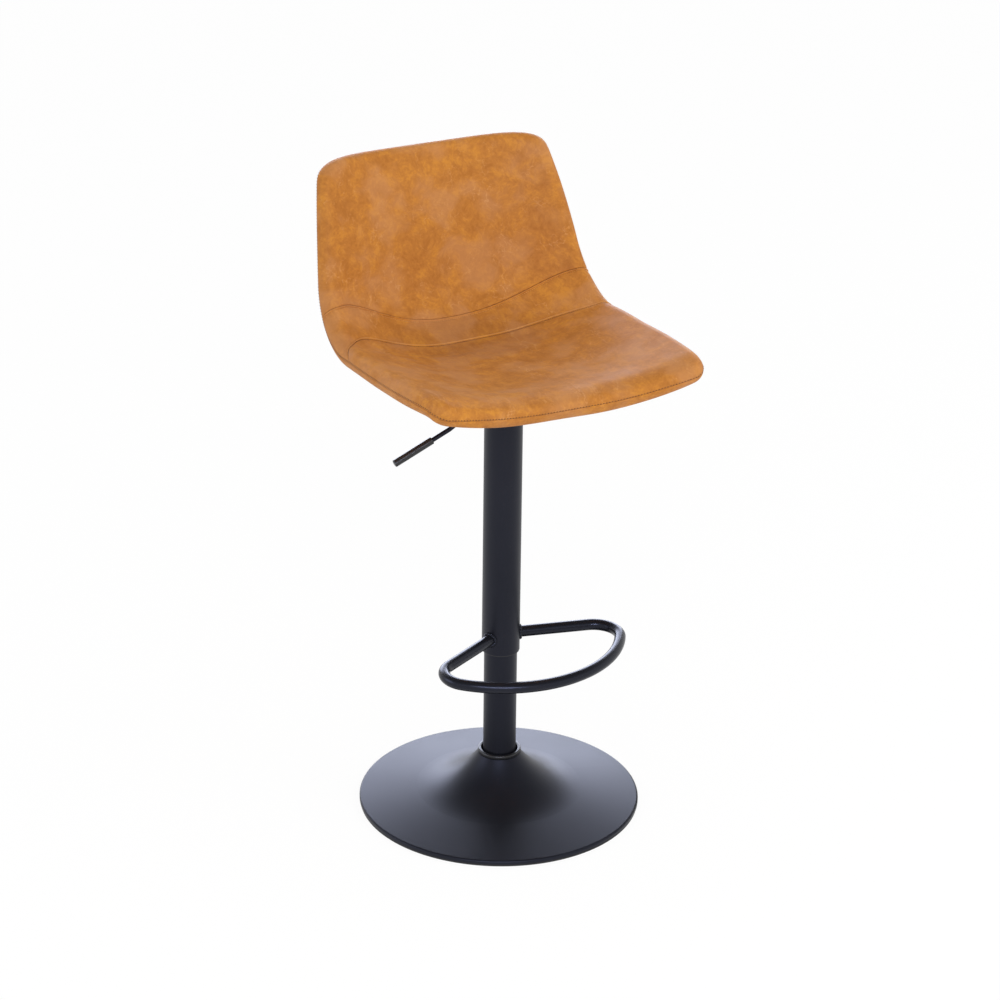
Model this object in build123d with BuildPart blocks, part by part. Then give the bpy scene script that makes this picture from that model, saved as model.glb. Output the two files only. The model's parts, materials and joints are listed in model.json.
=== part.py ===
from build123d import *
import os
from math import acos, asin, cos, degrees, radians, sin, sqrt, tan

# Adjustable swivel stool: a spun trumpet base, a gas-lift column and an upholstered bucket seat.
# Millimetres. The origin is on the floor on the column's axis, +Z is up and the seat faces -Y.
# The pieces stand at the height that the picture shows, with the lever at rest.

# Clearances that the fits share
press_clearance = 0.05
slide_clearance = 0.06
layer_gap = 0.3

# Trumpet base
rim_radius = 205.0
rim_height = 8.5
rim_round = 3.0
shell_wall = 2.0
slope_angle = 9.0
flare_radius = 136.0
neck_radius = 31.0
neck_angle = 55.0
land_radius = 26.0

# Rubber ring that the base stands on
ring_flange = 3.0
ring_upstand = 3.0
ring_width = 8.0
ring_setback = 0.9
ring_clearance = 0.15

# Bead ring round the column at the neck
bead_width = 5.5
bead_height = 6.5
bead_round = 2.2

# Cup under the neck that the column is bolted into
hub_wall = 4.4
hub_bottom = 14.0
hub_floor = 5.0
clip_hole_radius = 12.0
column_bolt_count = 3
column_bolt_radius = 17.0

# Lower column
column_radius = 24.0
column_wall = 1.8
column_gap = 34.0
foot_thickness = 8.0

# Hexagon screws and washers, M6
screw_radius = 3.0
screw_head_flats = 10.0
screw_head_height = 4.0
screw_hole_clearance = 0.3
washer_radius = 6.0
washer_thickness = 1.2
column_screw_bite = 6.0

# Gas lift
drop_height = 90.0
rise_height = 120.0
rod_radius = 5.0
rod_collar_radius = 9.0
rod_collar_height = 3.0
rod_tail = 2.0
clip_thickness = 1.2
clip_radius = 9.0
rod_washer_thickness = 1.2
rod_washer_radius = 10.5
cylinder_radius = 14.0
cylinder_wall = 1.8
cylinder_proud = 10.0
taper_length = 40.0
taper_drop = 0.9
buffer_height = 16.0
buffer_radius = 11.0
buffer_gap = 5.0
rod_guide_height = 15.0
rod_seal_height = 5.0
piston_height = 14.0
piston_gap = 4.0
piston_seal_height = 4.0
piston_seal_depth = 2.2
stud_radius = 4.0
piston_nut_flats = 13.0
piston_nut_height = 5.0
valve_body_height = 30.0
valve_body_inset = 1.0
valve_pin_radius = 3.0
valve_pin_depth = 20.0
valve_pin_round = 1.0

# Thrust bearing under the rod
race_thickness = 2.0
race_radius = 13.0
ball_radius = 2.25
ball_ring_radius = 9.3
ball_count = 10
ball_clearance = 0.1
cage_width = 6.0
cage_thickness = 1.2

# Plastic bush at the top of the lower column
bush_length = 60.0
bush_flange = 3.0

# Outer column that rides up and down with the seat
outer_radius = 27.5
outer_wall = 1.5
guide_ring_height = 20.0
guide_ring_lip = 1.2
guide_ring_setback = 0.5
collar_depth = 18.0
collar_flange = 3.0

# Footrest
footrest_height = 270.5
footrest_drop = 24.0
footrest_tube_radius = 8.3
footrest_tube_wall = 1.5
footrest_reach = 172.4
footrest_bend = 37.3
footrest_spread = 69.0
footrest_turn = 9.2
weld_leg = 3.5
weld_toe = 1.2

# Seat mechanism
hub_sleeve_radius = 21.0
hub_sleeve_length = 37.0
bracket_wall = 3.0
bracket_length = 84.0
bracket_width = 52.0
bracket_rise = 42.5
plate_thickness = 3.0
plate_size = 150.0
plate_corner = 14.0
bolt_spacing = 116.0
bolt_margin = 10.5

# Height lever
lever_rod_radius = 3.4
lever_rise = 20.0
lever_inner_end = 8.0
lever_knee = -36.0
lever_elbow_out = -84.0
lever_elbow_drop = 30.8
lever_tip_out = -168.7
lever_tip_drop = 68.9
lever_bend = 14.0
grip_radius = 5.4
grip_length = 63.5
grip_end_wall = 3.0
grip_tip_round = 1.8
grip_mouth_round = 0.5
pivot_out = -30.0
pivot_radius = 2.5
pivot_boss_radius = 6.0
pivot_head_radius = 4.5
pivot_head_height = 2.0
valve_touch_gap = 0.4

# Bucket seat, measured along its centre line from the front edge to the top of the back
seat_front_depth = 225.1
seat_front_height = 718.8
lip_radius = 70.0
lip_turn = 35.3
seat_fall = 8.6
seat_run = 253.8
bend_radius = 128.0
back_recline = 17.9
back_run = 172.4
back_curl = 10.4
seat_half_width = 205.0
front_taper = 8.0
back_taper = 45.7
back_taper_power = 2.2
widest_at = 170.5
wing_front = 24.2
wing_bend = 40.5
wing_top = 35.2
wing_peak_at = 431.0
flat_half_width = 33.4
edge_roll = 8.9
edge_bulge = 6.4
front_corner = 17.8
front_squareness = 2.7
top_corner = 40.9
top_squareness = 2.65
tip_share = 0.2
nose_length = 15.9
nose_share = 0.12

# Where the cross sections of the seat stand, as shares of each stretch
nose_shares = (0.0, 0.1, 0.35)
channel_shares = (0.0, 0.3, 1.0)
run_shares = (0.25, 0.5, 0.75, 1.0)
back_shares = (0.25, 0.5)
top_shares = (1.0, 0.65)

# Layers of the seat, from the sitting side down
pad_thickness = 17.0
shell_thickness = 9.0
cover_thickness = 4.0
shell_inset = 10.0
seam_low = 331.0
seam_high = 389.0
seam_depth = 3.5
seam_width = 10.0
seam_gap = 0.4

# Tee nuts in the plywood
tee_flange_radius = 8.5
tee_flange_thickness = 1.2
tee_barrel_radius = 4.2
tee_barrel_length = 6.5

os.makedirs("parts", exist_ok=True)


def save(builder, name):
    """Label a finished piece and write it to its file."""
    builder.part.label = name
    export_step(builder.part, f"parts/{name}.step")


# Centre line of the bucket seat, from the front edge to the top of the back

lip_length = lip_radius * radians(lip_turn)
bend_turn = 90 - back_recline + seat_fall
bend_length = bend_radius * radians(bend_turn)
seat_length = lip_length + seat_run + bend_length + back_run
centre_line = (
    (lip_length, -lip_turn),
    (seat_run, 0.0),
    (bend_length, bend_turn),
    (back_run, -back_curl),
)


def centre_station(distance):
    """Where the seat's centre line is at a distance from the front edge: y, z and its heading in degrees."""
    back, height, heading = -seat_front_depth, seat_front_height, lip_turn - seat_fall
    for length, turn in centre_line:
        step = min(distance, length)
        swing = turn * step / length
        chord_heading = radians(heading + swing / 2)
        half_swing = radians(swing / 2)
        chord = step * (sin(half_swing) / half_swing if swing else 1.0)
        back += chord * cos(chord_heading)
        height += chord * sin(chord_heading)
        heading += swing
        distance -= step
    return back, height, heading


# The seat plate lies under the seat's straight run, square to its fall

shell_depth = pad_thickness + layer_gap
cover_depth = shell_depth + shell_thickness + layer_gap
seat_depth = cover_depth + cover_thickness

run_fall = radians(seat_fall)
seat_normal = (0, sin(run_fall), cos(run_fall))
lip_end_back, lip_end_height, _ = centre_station(lip_length)
run_end_back, _, _ = centre_station(lip_length + seat_run)
axis_surface = lip_end_height + lip_end_back * tan(run_fall)
under_seat = axis_surface - (seat_depth + layer_gap) / cos(run_fall)
plate_shift = run_end_back / cos(run_fall) - bolt_margin - bolt_spacing / 2
plate_plane = Plane(
    origin=(0, plate_shift * cos(run_fall), under_seat - plate_shift * sin(run_fall)),
    x_dir=(1, 0, 0),
    z_dir=seat_normal,
)
bolt_grid = GridLocations(bolt_spacing, bolt_spacing, 2, 2)
tee_top = layer_gap + cover_thickness + layer_gap + shell_thickness - tee_flange_thickness

# Heights and radii that follow from the sizes above

bracket_bottom = under_seat - plate_thickness / cos(run_fall) - bracket_rise
bracket_floor_top = bracket_bottom + bracket_wall
outer_bore = outer_radius - outer_wall
outer_bottom = footrest_height - footrest_drop
outer_top = bracket_bottom - collar_flange
cylinder_top = outer_top + cylinder_proud
sleeve_bottom = bracket_floor_top - hub_sleeve_length
column_top = sleeve_bottom - drop_height - column_gap - bush_flange
lever_height = outer_top + lever_rise
lever_elbow_height = lever_height - lever_elbow_drop
lever_tip_height = lever_height - lever_tip_drop

flare_centre_x = neck_radius + flare_radius * sin(radians(neck_angle))
flare_start_x = flare_centre_x - flare_radius * sin(radians(slope_angle))
flare_start_z = rim_height + (rim_radius - flare_start_x) * tan(radians(slope_angle))
flare_centre_z = flare_start_z + flare_radius * cos(radians(slope_angle))
neck_height = flare_centre_z - flare_radius * cos(radians(neck_angle))
lip_inner_radius = rim_radius - shell_wall

hub_bore = column_radius + press_clearance
column_seat = hub_bottom + hub_floor
column_bore = column_radius - column_wall
foot_top = column_seat + foot_thickness
screw_hole_radius = screw_radius + screw_hole_clearance

upper_race_bottom = foot_top + race_thickness + 2 * ball_radius + ball_clearance
ball_height = foot_top + race_thickness + ball_radius
collar_bottom = upper_race_bottom + race_thickness
buffer_bottom = collar_bottom + rod_collar_height
buffer_top = buffer_bottom + buffer_height
rod_washer_bottom = column_seat - rod_washer_thickness
clip_bottom = rod_washer_bottom - clip_thickness
rod_bottom = clip_bottom - rod_tail
cylinder_bottom = buffer_top + drop_height + buffer_gap
cylinder_bore = cylinder_radius - cylinder_wall
piston_bottom = cylinder_bottom + rise_height + rod_guide_height + rod_seal_height + piston_gap
piston_top = piston_bottom + piston_height
rod_bore = rod_radius + press_clearance
piston_radius = cylinder_bore - slide_clearance

pin_top = lever_height - lever_rod_radius - valve_touch_gap


# Base

def flare_point(angle, offset=0.0):
    """Point on the trumpet's flare where its slope has this angle, set in from the outer face."""
    radius = flare_radius + offset
    return (
        flare_centre_x - radius * sin(radians(angle)),
        flare_centre_z - radius * cos(radians(angle)),
    )


land_underside = neck_height - shell_wall
inner_neck_cosine = (flare_centre_z - land_underside) / (flare_radius + shell_wall)
inner_neck_angle = degrees(acos(inner_neck_cosine))
inner_flare_start = flare_point(slope_angle, shell_wall)
inner_rim_drop = (lip_inner_radius - inner_flare_start[0]) * tan(radians(slope_angle))
inner_rim_height = inner_flare_start[1] - inner_rim_drop

with BuildPart() as base_shell:
    with BuildSketch(Plane.XZ) as shell_profile:
        with BuildLine():
            Line((rim_radius, ring_flange), (rim_radius, rim_height))
            Line((rim_radius, rim_height), flare_point(slope_angle))
            ThreePointArc(
                flare_point(slope_angle),
                flare_point((slope_angle + neck_angle) / 2),
                flare_point(neck_angle),
            )
            Polyline(
                flare_point(neck_angle),
                (land_radius, neck_height),
                (land_radius, land_underside),
                flare_point(inner_neck_angle, shell_wall),
            )
            ThreePointArc(
                flare_point(inner_neck_angle, shell_wall),
                flare_point((slope_angle + inner_neck_angle) / 2, shell_wall),
                inner_flare_start,
            )
            Polyline(
                inner_flare_start,
                (lip_inner_radius, inner_rim_height),
                (lip_inner_radius, ring_flange),
                (rim_radius, ring_flange),
            )
        make_face()
        rim_corner = shell_profile.vertices().sort_by(lambda corner: -corner.X - corner.Y)[0]
        fillet(rim_corner, radius=rim_round)
    revolve(axis=Axis.Z)
save(base_shell, "base_shell")

with BuildPart() as floor_ring:
    ring_outer = rim_radius - ring_setback
    ring_inner = ring_outer - ring_width
    upstand_radius = lip_inner_radius - ring_clearance
    with BuildSketch(Plane.XZ):
        Polygon(
            (ring_inner, 0),
            (ring_outer, 0),
            (ring_outer, ring_flange),
            (upstand_radius, ring_flange),
            (upstand_radius, ring_flange + ring_upstand),
            (ring_inner, ring_flange + ring_upstand),
            align=None,
        )
    revolve(axis=Axis.Z)
save(floor_ring, "floor_ring")

with BuildPart() as neck_ring:
    with BuildSketch(Plane.XZ) as bead_profile:
        with Locations((land_radius + bead_width / 2, neck_height + bead_height / 2)):
            Rectangle(bead_width, bead_height)
        fillet(bead_profile.vertices(), radius=bead_round)
    revolve(axis=Axis.Z)
save(neck_ring, "neck_ring")

with BuildPart() as base_hub:
    with BuildSketch(Plane.XY.offset(hub_bottom)):
        Circle(hub_bore + hub_wall)
    extrude(amount=land_underside - hub_bottom)
    with BuildSketch(Plane.XY.offset(column_seat)):
        Circle(hub_bore)
    extrude(amount=land_underside - column_seat, mode=Mode.SUBTRACT)
    with BuildSketch(Plane.XY.offset(hub_bottom)):
        Circle(clip_hole_radius)
        with PolarLocations(column_bolt_radius, column_bolt_count):
            Circle(screw_hole_radius)
    extrude(amount=hub_floor, mode=Mode.SUBTRACT)
save(base_hub, "base_hub")

with BuildPart() as base_column:
    with BuildSketch(Plane.XY.offset(column_seat)):
        Circle(column_radius)
        Circle(column_bore, mode=Mode.SUBTRACT)
    extrude(amount=column_top - column_seat)
save(base_column, "base_column")

with BuildPart() as column_foot:
    with BuildSketch(Plane.XY.offset(column_seat)):
        Circle(column_bore - press_clearance)
        Circle(rod_bore, mode=Mode.SUBTRACT)
        with PolarLocations(column_bolt_radius, column_bolt_count):
            Circle(screw_radius + press_clearance, mode=Mode.SUBTRACT)
    extrude(amount=foot_thickness)
save(column_foot, "column_foot")

with BuildPart() as column_washers:
    with BuildSketch(Plane.XY.offset(hub_bottom - washer_thickness)):
        with PolarLocations(column_bolt_radius, column_bolt_count):
            Circle(washer_radius)
        with PolarLocations(column_bolt_radius, column_bolt_count):
            Circle(screw_hole_radius, mode=Mode.SUBTRACT)
    extrude(amount=washer_thickness)
save(column_washers, "column_washers")

with BuildPart() as column_bolts:
    head_top = hub_bottom - washer_thickness
    with BuildSketch(Plane.XY.offset(head_top)):
        with PolarLocations(column_bolt_radius, column_bolt_count):
            RegularPolygon(screw_head_flats / 2, 6, major_radius=False)
    extrude(amount=-screw_head_height)
    with BuildSketch(Plane.XY.offset(head_top)):
        with PolarLocations(column_bolt_radius, column_bolt_count):
            Circle(screw_radius)
    extrude(amount=column_seat + column_screw_bite - head_top)
save(column_bolts, "column_bolts")

with BuildPart() as guide_bush:
    with BuildSketch(Plane.XY.offset(column_top - bush_length)):
        Circle(column_bore - press_clearance)
    extrude(amount=bush_length)
    with BuildSketch(Plane.XY.offset(column_top)):
        Circle(column_radius)
    extrude(amount=bush_flange)
    with BuildSketch(Plane.XY.offset(column_top - bush_length)):
        Circle(cylinder_radius + slide_clearance)
    extrude(amount=bush_length + bush_flange, mode=Mode.SUBTRACT)
save(guide_bush, "guide_bush")

# Thrust bearing

with BuildPart() as thrust_lower_race:
    with BuildSketch(Plane.XY.offset(foot_top)):
        Circle(race_radius)
        Circle(rod_radius + layer_gap, mode=Mode.SUBTRACT)
    extrude(amount=race_thickness)
save(thrust_lower_race, "thrust_lower_race")

with BuildPart() as bearing_balls:
    with Locations((0, 0, ball_height)):
        with PolarLocations(ball_ring_radius, ball_count):
            Sphere(ball_radius)
save(bearing_balls, "bearing_balls")

with BuildPart() as ball_cage:
    with BuildSketch(Plane.XY.offset(ball_height - cage_thickness / 2)):
        Circle(ball_ring_radius + cage_width / 2)
        Circle(ball_ring_radius - cage_width / 2, mode=Mode.SUBTRACT)
        with PolarLocations(ball_ring_radius, ball_count):
            Circle(ball_radius + ball_clearance, mode=Mode.SUBTRACT)
    extrude(amount=cage_thickness)
save(ball_cage, "ball_cage")

with BuildPart() as thrust_upper_race:
    with BuildSketch(Plane.XY.offset(upper_race_bottom)):
        Circle(race_radius)
        Circle(rod_bore, mode=Mode.SUBTRACT)
    extrude(amount=race_thickness)
save(thrust_upper_race, "thrust_upper_race")

# Gas lift, the pieces that turn but stay at their height

with BuildPart() as piston_rod:
    with BuildSketch(Plane.XY.offset(rod_bottom)):
        Circle(rod_radius)
    extrude(amount=piston_bottom - rod_bottom)
    with BuildSketch(Plane.XY.offset(piston_bottom)):
        Circle(stud_radius)
    extrude(amount=piston_height + piston_nut_height)
    with BuildSketch(Plane.XY.offset(collar_bottom)):
        Circle(rod_collar_radius)
    extrude(amount=rod_collar_height)
save(piston_rod, "piston_rod")

with BuildPart() as rod_washer:
    with BuildSketch(Plane.XY.offset(rod_washer_bottom)):
        Circle(rod_washer_radius)
        Circle(rod_bore, mode=Mode.SUBTRACT)
    extrude(amount=rod_washer_thickness - slide_clearance)
save(rod_washer, "rod_washer")

with BuildPart() as rod_clip:
    with BuildSketch(Plane.XY.offset(clip_bottom)):
        Circle(clip_radius)
        Circle(rod_bore, mode=Mode.SUBTRACT)
        with Locations((clip_radius / 2, 0)):
            Rectangle(clip_radius, rod_radius, mode=Mode.SUBTRACT)
    extrude(amount=clip_thickness)
save(rod_clip, "rod_clip")

with BuildPart() as rod_buffer:
    with BuildSketch(Plane.XY.offset(buffer_bottom)):
        Circle(buffer_radius)
        Circle(rod_bore, mode=Mode.SUBTRACT)
    extrude(amount=buffer_height)
save(rod_buffer, "rod_buffer")

seal_bottom = piston_bottom + (piston_height - piston_seal_height) / 2

with BuildPart() as piston:
    with BuildSketch(Plane.XY.offset(piston_bottom)):
        Circle(piston_radius)
        Circle(stud_radius + press_clearance, mode=Mode.SUBTRACT)
    extrude(amount=piston_height)
    with BuildSketch(Plane.XY.offset(seal_bottom)):
        Circle(piston_radius)
        Circle(piston_radius - piston_seal_depth, mode=Mode.SUBTRACT)
    extrude(amount=piston_seal_height, mode=Mode.SUBTRACT)
save(piston, "piston")

with BuildPart() as piston_seal:
    with BuildSketch(Plane.XY.offset(seal_bottom)):
        Circle(piston_radius)
        Circle(piston_radius - piston_seal_depth, mode=Mode.SUBTRACT)
    extrude(amount=piston_seal_height)
save(piston_seal, "piston_seal")

with BuildPart() as piston_nut:
    with BuildSketch(Plane.XY.offset(piston_top)):
        RegularPolygon(piston_nut_flats / 2, 6, major_radius=False)
        Circle(stud_radius + press_clearance, mode=Mode.SUBTRACT)
    extrude(amount=piston_nut_height)
save(piston_nut, "piston_nut")

# Gas lift, the pieces that rise and fall with the seat

with BuildPart() as gas_cylinder:
    taper_bottom = cylinder_top - taper_length
    with BuildSketch(Plane.XZ):
        Polygon(
            (cylinder_bore, cylinder_bottom),
            (cylinder_radius, cylinder_bottom),
            (cylinder_radius, taper_bottom),
            (cylinder_radius - taper_drop, cylinder_top),
            (cylinder_bore, cylinder_top),
            align=None,
        )
    revolve(axis=Axis.Z)
save(gas_cylinder, "gas_cylinder")

with BuildPart() as rod_guide:
    with BuildSketch(Plane.XY.offset(cylinder_bottom)):
        Circle(cylinder_bore - press_clearance)
        Circle(rod_radius + slide_clearance, mode=Mode.SUBTRACT)
    extrude(amount=rod_guide_height)
save(rod_guide, "rod_guide")

with BuildPart() as rod_seal:
    with BuildSketch(Plane.XY.offset(cylinder_bottom + rod_guide_height)):
        Circle(cylinder_bore - press_clearance)
        Circle(rod_radius + slide_clearance, mode=Mode.SUBTRACT)
    extrude(amount=rod_seal_height)
save(rod_seal, "rod_seal")

with BuildPart() as valve_body:
    valve_body_top = cylinder_top - valve_body_inset
    with BuildSketch(Plane.XY.offset(valve_body_top - valve_body_height)):
        Circle(cylinder_bore - press_clearance)
        Circle(valve_pin_radius + slide_clearance, mode=Mode.SUBTRACT)
    extrude(amount=valve_body_height)
save(valve_body, "valve_body")

with BuildPart() as valve_pin:
    with BuildSketch(Plane.XY.offset(valve_body_top - valve_pin_depth)):
        Circle(valve_pin_radius)
    extrude(amount=pin_top - valve_body_top + valve_pin_depth)
    fillet(valve_pin.edges().sort_by(Axis.Z)[-1], radius=valve_pin_round)
save(valve_pin, "valve_pin")

# Outer column and footrest

with BuildPart() as outer_column:
    with BuildSketch(Plane.XY.offset(outer_bottom)):
        Circle(outer_radius)
        Circle(outer_bore, mode=Mode.SUBTRACT)
    extrude(amount=outer_top - outer_bottom)
save(outer_column, "outer_column")

with BuildPart() as outer_guide_ring:
    with BuildSketch(Plane.XY.offset(outer_bottom - guide_ring_lip)):
        Circle(outer_radius - guide_ring_setback)
    extrude(amount=guide_ring_lip)
    with BuildSketch(Plane.XY.offset(outer_bottom)):
        Circle(outer_bore - press_clearance)
    extrude(amount=guide_ring_height)
    with BuildSketch(Plane.XY.offset(outer_bottom - guide_ring_lip)):
        Circle(column_radius + slide_clearance)
    extrude(amount=guide_ring_height + guide_ring_lip, mode=Mode.SUBTRACT)
save(outer_guide_ring, "outer_guide_ring")

with BuildPart() as top_collar:
    with BuildSketch(Plane.XY.offset(outer_top - collar_depth)):
        Circle(outer_bore - press_clearance)
    extrude(amount=collar_depth)
    with BuildSketch(Plane.XY.offset(outer_top)):
        Circle(outer_radius)
    extrude(amount=collar_flange)
    with BuildSketch(Plane.XY.offset(outer_top - collar_depth)):
        Circle(hub_sleeve_radius + press_clearance)
    extrude(amount=collar_depth + collar_flange, mode=Mode.SUBTRACT)
save(top_collar, "top_collar")

# The footrest is a loop in a level plane: two spokes on the column, two bends and a front arc
footrest_plane = Plane.XY.offset(footrest_height).rotated((0, 0, footrest_turn))
weld_radius = outer_radius + press_clearance
corner_turn = asin(footrest_bend / (footrest_reach - footrest_bend))
spoke_length = (footrest_reach - footrest_bend) * cos(corner_turn)
bend_sweep = 90 + degrees(corner_turn)
front_sweep = 2 * footrest_spread - 2 * (bend_sweep - 90)


def spoke_point(side, distance):
    """Point on a spoke's axis; side is -1 on the left and +1 on the right."""
    angle = radians(footrest_spread)
    return (side * distance * sin(angle), -distance * cos(angle))


def spoke_plane(side, distance):
    """Plane across a spoke, facing away from the column."""
    point = footrest_plane.from_local_coords((*spoke_point(side, distance), 0))
    tip = footrest_plane.from_local_coords((*spoke_point(side, distance + 1), 0))
    return Plane(origin=point, z_dir=tip - point)


with BuildPart() as footrest:
    with BuildLine(footrest_plane) as footrest_path:
        left_spoke = Line(spoke_point(-1, column_radius), spoke_point(-1, spoke_length))
        left_bend = JernArc(left_spoke @ 1, left_spoke % 1, footrest_bend, bend_sweep)
        front_arc = JernArc(left_bend @ 1, left_bend % 1, footrest_reach, front_sweep)
        right_bend = JernArc(front_arc @ 1, front_arc % 1, footrest_bend, bend_sweep)
        Line(right_bend @ 1, spoke_point(1, column_radius))
    with BuildSketch(spoke_plane(-1, column_radius)):
        Circle(footrest_tube_radius)
        Circle(footrest_tube_radius - footrest_tube_wall, mode=Mode.SUBTRACT)
    sweep(path=footrest_path.line)
    with BuildSketch(Plane.XY.offset(footrest_height - footrest_reach / 2)):
        Circle(weld_radius)
    extrude(amount=footrest_reach, mode=Mode.SUBTRACT)
save(footrest, "footrest")

with BuildPart() as footrest_welds:
    for side in (-1, 1):
        tube_face = footrest_tube_radius + press_clearance
        with BuildSketch(spoke_plane(side, column_radius)):
            Circle(tube_face + weld_leg)
        with BuildSketch(spoke_plane(side, weld_radius + weld_leg)):
            Circle(tube_face + weld_toe)
        loft()
    for side in (-1, 1):
        with BuildSketch(spoke_plane(side, column_radius)):
            Circle(tube_face)
        extrude(amount=footrest_reach / 4, mode=Mode.SUBTRACT)
    with BuildSketch(Plane.XY.offset(footrest_height - footrest_reach / 2)):
        Circle(weld_radius)
    extrude(amount=footrest_reach, mode=Mode.SUBTRACT)
save(footrest_welds, "footrest_welds")


# Bucket seat

def ease(share):
    """Smooth step from 0 to 1."""
    share = min(max(share, 0.0), 1.0)
    return share * share * (3 - 2 * share)


def quarter_round(share):
    """Height of a quarter circle of unit radius, from 0 at its end to 1."""
    share = min(max(share, 0.0), 1.0)
    return sqrt(1 - (1 - share) ** 2)


def corner_round(share, squareness):
    """Half width of a superellipse's end, as a share of its full half width."""
    share = min(max(share, 0.0), 1.0)
    return max(tip_share, (1 - (1 - share) ** squareness) ** (1 / squareness))


def corner_scale(distance):
    """How far the rounded corners draw the sides in near the front edge and the top edge."""
    front = corner_round(distance / front_corner, front_squareness)
    top = corner_round((seat_length - distance) / top_corner, top_squareness)
    return front * top


def side_reach(distance):
    """Half width of the sitting side."""
    if distance < widest_at:
        plain = seat_half_width - front_taper * ((widest_at - distance) / widest_at) ** 2
    else:
        past = (distance - widest_at) / (seat_length - widest_at)
        plain = seat_half_width - back_taper * past**back_taper_power
    return plain * corner_scale(distance)


def wing_rise(distance):
    """How far the sides rise above the middle."""
    if distance < wing_peak_at:
        plain = wing_front + (wing_bend - wing_front) * ease(distance / wing_peak_at)
    else:
        past = (distance - wing_peak_at) / (seat_length - wing_peak_at)
        plain = wing_bend - (wing_bend - wing_top) * ease(past)
    return plain * corner_scale(distance) ** 2


def nose(distance):
    """Share of the full thickness near the rounded front edge and top edge."""
    inward = min(distance, seat_length - distance)
    return nose_share + (1 - nose_share) * quarter_round(inward / nose_length)


class SeatSection:
    """Cross section of the seat: a flat middle and two wings that are arcs about one centre each."""

    def __init__(self, distance, inset=0.0):
        back, height, heading = centre_station(distance)
        self.nose = nose(distance)
        tilt = radians(heading)
        self.plane = Plane(
            origin=(0, back, height), x_dir=(1, 0, 0), z_dir=(0, -cos(tilt), -sin(tilt))
        )
        reach = side_reach(distance)
        rise = wing_rise(distance)
        self.flat = flat_half_width * reach / seat_half_width
        span = reach - self.flat
        self.radius = (span**2 + rise**2) / (2 * rise)
        self.full_angle = asin(span / self.radius)
        self.inset_angle = self.full_angle - inset / self.radius

    def point(self, depth, angle, side, beyond=0.0):
        """Point at a depth under the sitting side; beyond carries on along the wing's tangent."""
        radius = self.radius + depth
        across = self.flat + radius * sin(angle) + beyond * cos(angle)
        up = self.radius - radius * cos(angle) + beyond * sin(angle)
        return (side * across, up)

    def wing(self, depth, angle, side):
        """Arc of one wing at a depth, from the flat middle out to an angle."""
        ThreePointArc(
            self.point(depth, 0, side),
            self.point(depth, angle / 2, side),
            self.point(depth, angle, side),
        )

    def layer_face(self, depth, angle):
        """Line across the middle and both wings at a depth."""
        Line(self.point(depth, 0, -1), self.point(depth, 0, 1))
        for side in (-1, 1):
            self.wing(depth, angle, side)

    def wing_rim(self, depth, side):
        """Arc of one wing at a depth, from the inset wall out to its end."""
        ThreePointArc(
            self.point(depth, self.inset_angle, side),
            self.point(depth, (self.inset_angle + self.full_angle) / 2, side),
            self.point(depth, self.full_angle, side),
        )

    def inset_walls(self, top, bottom):
        """Straight sides between two depths, at the inset."""
        for side in (-1, 1):
            Line(
                self.point(top, self.inset_angle, side),
                self.point(bottom, self.inset_angle, side),
            )

    def rolled_face(self, face_depth, seam):
        """Face at a depth whose sides roll round to the sewn seam."""
        roll_angle = self.full_angle - edge_roll * self.nose / self.radius
        self.layer_face(face_depth, roll_angle)
        for side in (-1, 1):
            seam_point = self.point(seam, self.full_angle, side, edge_bulge)
            along = (side * cos(roll_angle), sin(roll_angle))
            TangentArc(self.point(face_depth, roll_angle, side), seam_point, tangent=along)
            Line(self.point(seam, self.full_angle, side), seam_point)

    def padded(self, face_depth, seam):
        """Outline of an upholstered layer between its face and the seam."""
        self.rolled_face(face_depth, seam)
        self.layer_face(seam, self.full_angle)

    def tray(self, face_depth, seam, floor):
        """Outline of the rear cover where it holds the shell in its pocket."""
        self.rolled_face(face_depth, seam)
        for side in (-1, 1):
            self.wing_rim(seam, side)
        self.inset_walls(seam, floor)
        self.layer_face(floor, self.inset_angle)

    def strip(self, top, bottom):
        """Outline of a plain layer between two depths, square at its sides."""
        self.layer_face(top, self.inset_angle)
        self.layer_face(bottom, self.inset_angle)
        self.inset_walls(top, bottom)


# Stations of the cross sections, close together where the edges turn over and in the bend
half_gap = seam_gap / 2
pocket_inset = shell_inset - layer_gap
edge_steps = [nose_length * share for share in nose_shares] + [pocket_inset, nose_length]
bend_start = lip_length + seat_run
back_start = bend_start + bend_length
stations = edge_steps + [front_corner, lip_length]
stations += [lip_length + seat_run * share for share in run_shares]
for seam in (seam_low, seam_high):
    for share in channel_shares:
        channel_step = half_gap + seam_width * share
        stations += [seam - channel_step, seam + channel_step]
stations.append((seam_low + seam_high) / 2)
seam_to_back = back_start - seam_high - seam_width
stations += [seam_high + seam_width + seam_to_back * share for share in run_shares]
stations += [back_start + back_run * share for share in back_shares]
stations += [seat_length - top_corner * share for share in top_shares]
stations += [seat_length - step for step in edge_steps]
stations = sorted(stations)


def seam_dip(distance):
    """Depth of the sewn channel that the pads sink into near their seams."""
    nearest = min(abs(distance - seam_low), abs(distance - seam_high)) - half_gap
    return seam_depth * (1 - quarter_round(nearest / seam_width))


def pad_sketch(distance):
    """Cross section of the front pads, sunk into the channels at their seams."""
    section = SeatSection(distance)
    face_depth = pad_thickness * (1 - section.nose) + seam_dip(distance)
    with BuildSketch(section.plane) as sketch:
        with BuildLine():
            section.padded(face_depth, pad_thickness)
        make_face()
    return sketch.sketch


def shell_sketch(distance):
    """Cross section of the plywood shell."""
    section = SeatSection(distance, shell_inset)
    with BuildSketch(section.plane) as sketch:
        with BuildLine():
            section.strip(shell_depth, shell_depth + shell_thickness)
        make_face()
    return sketch.sketch


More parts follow.
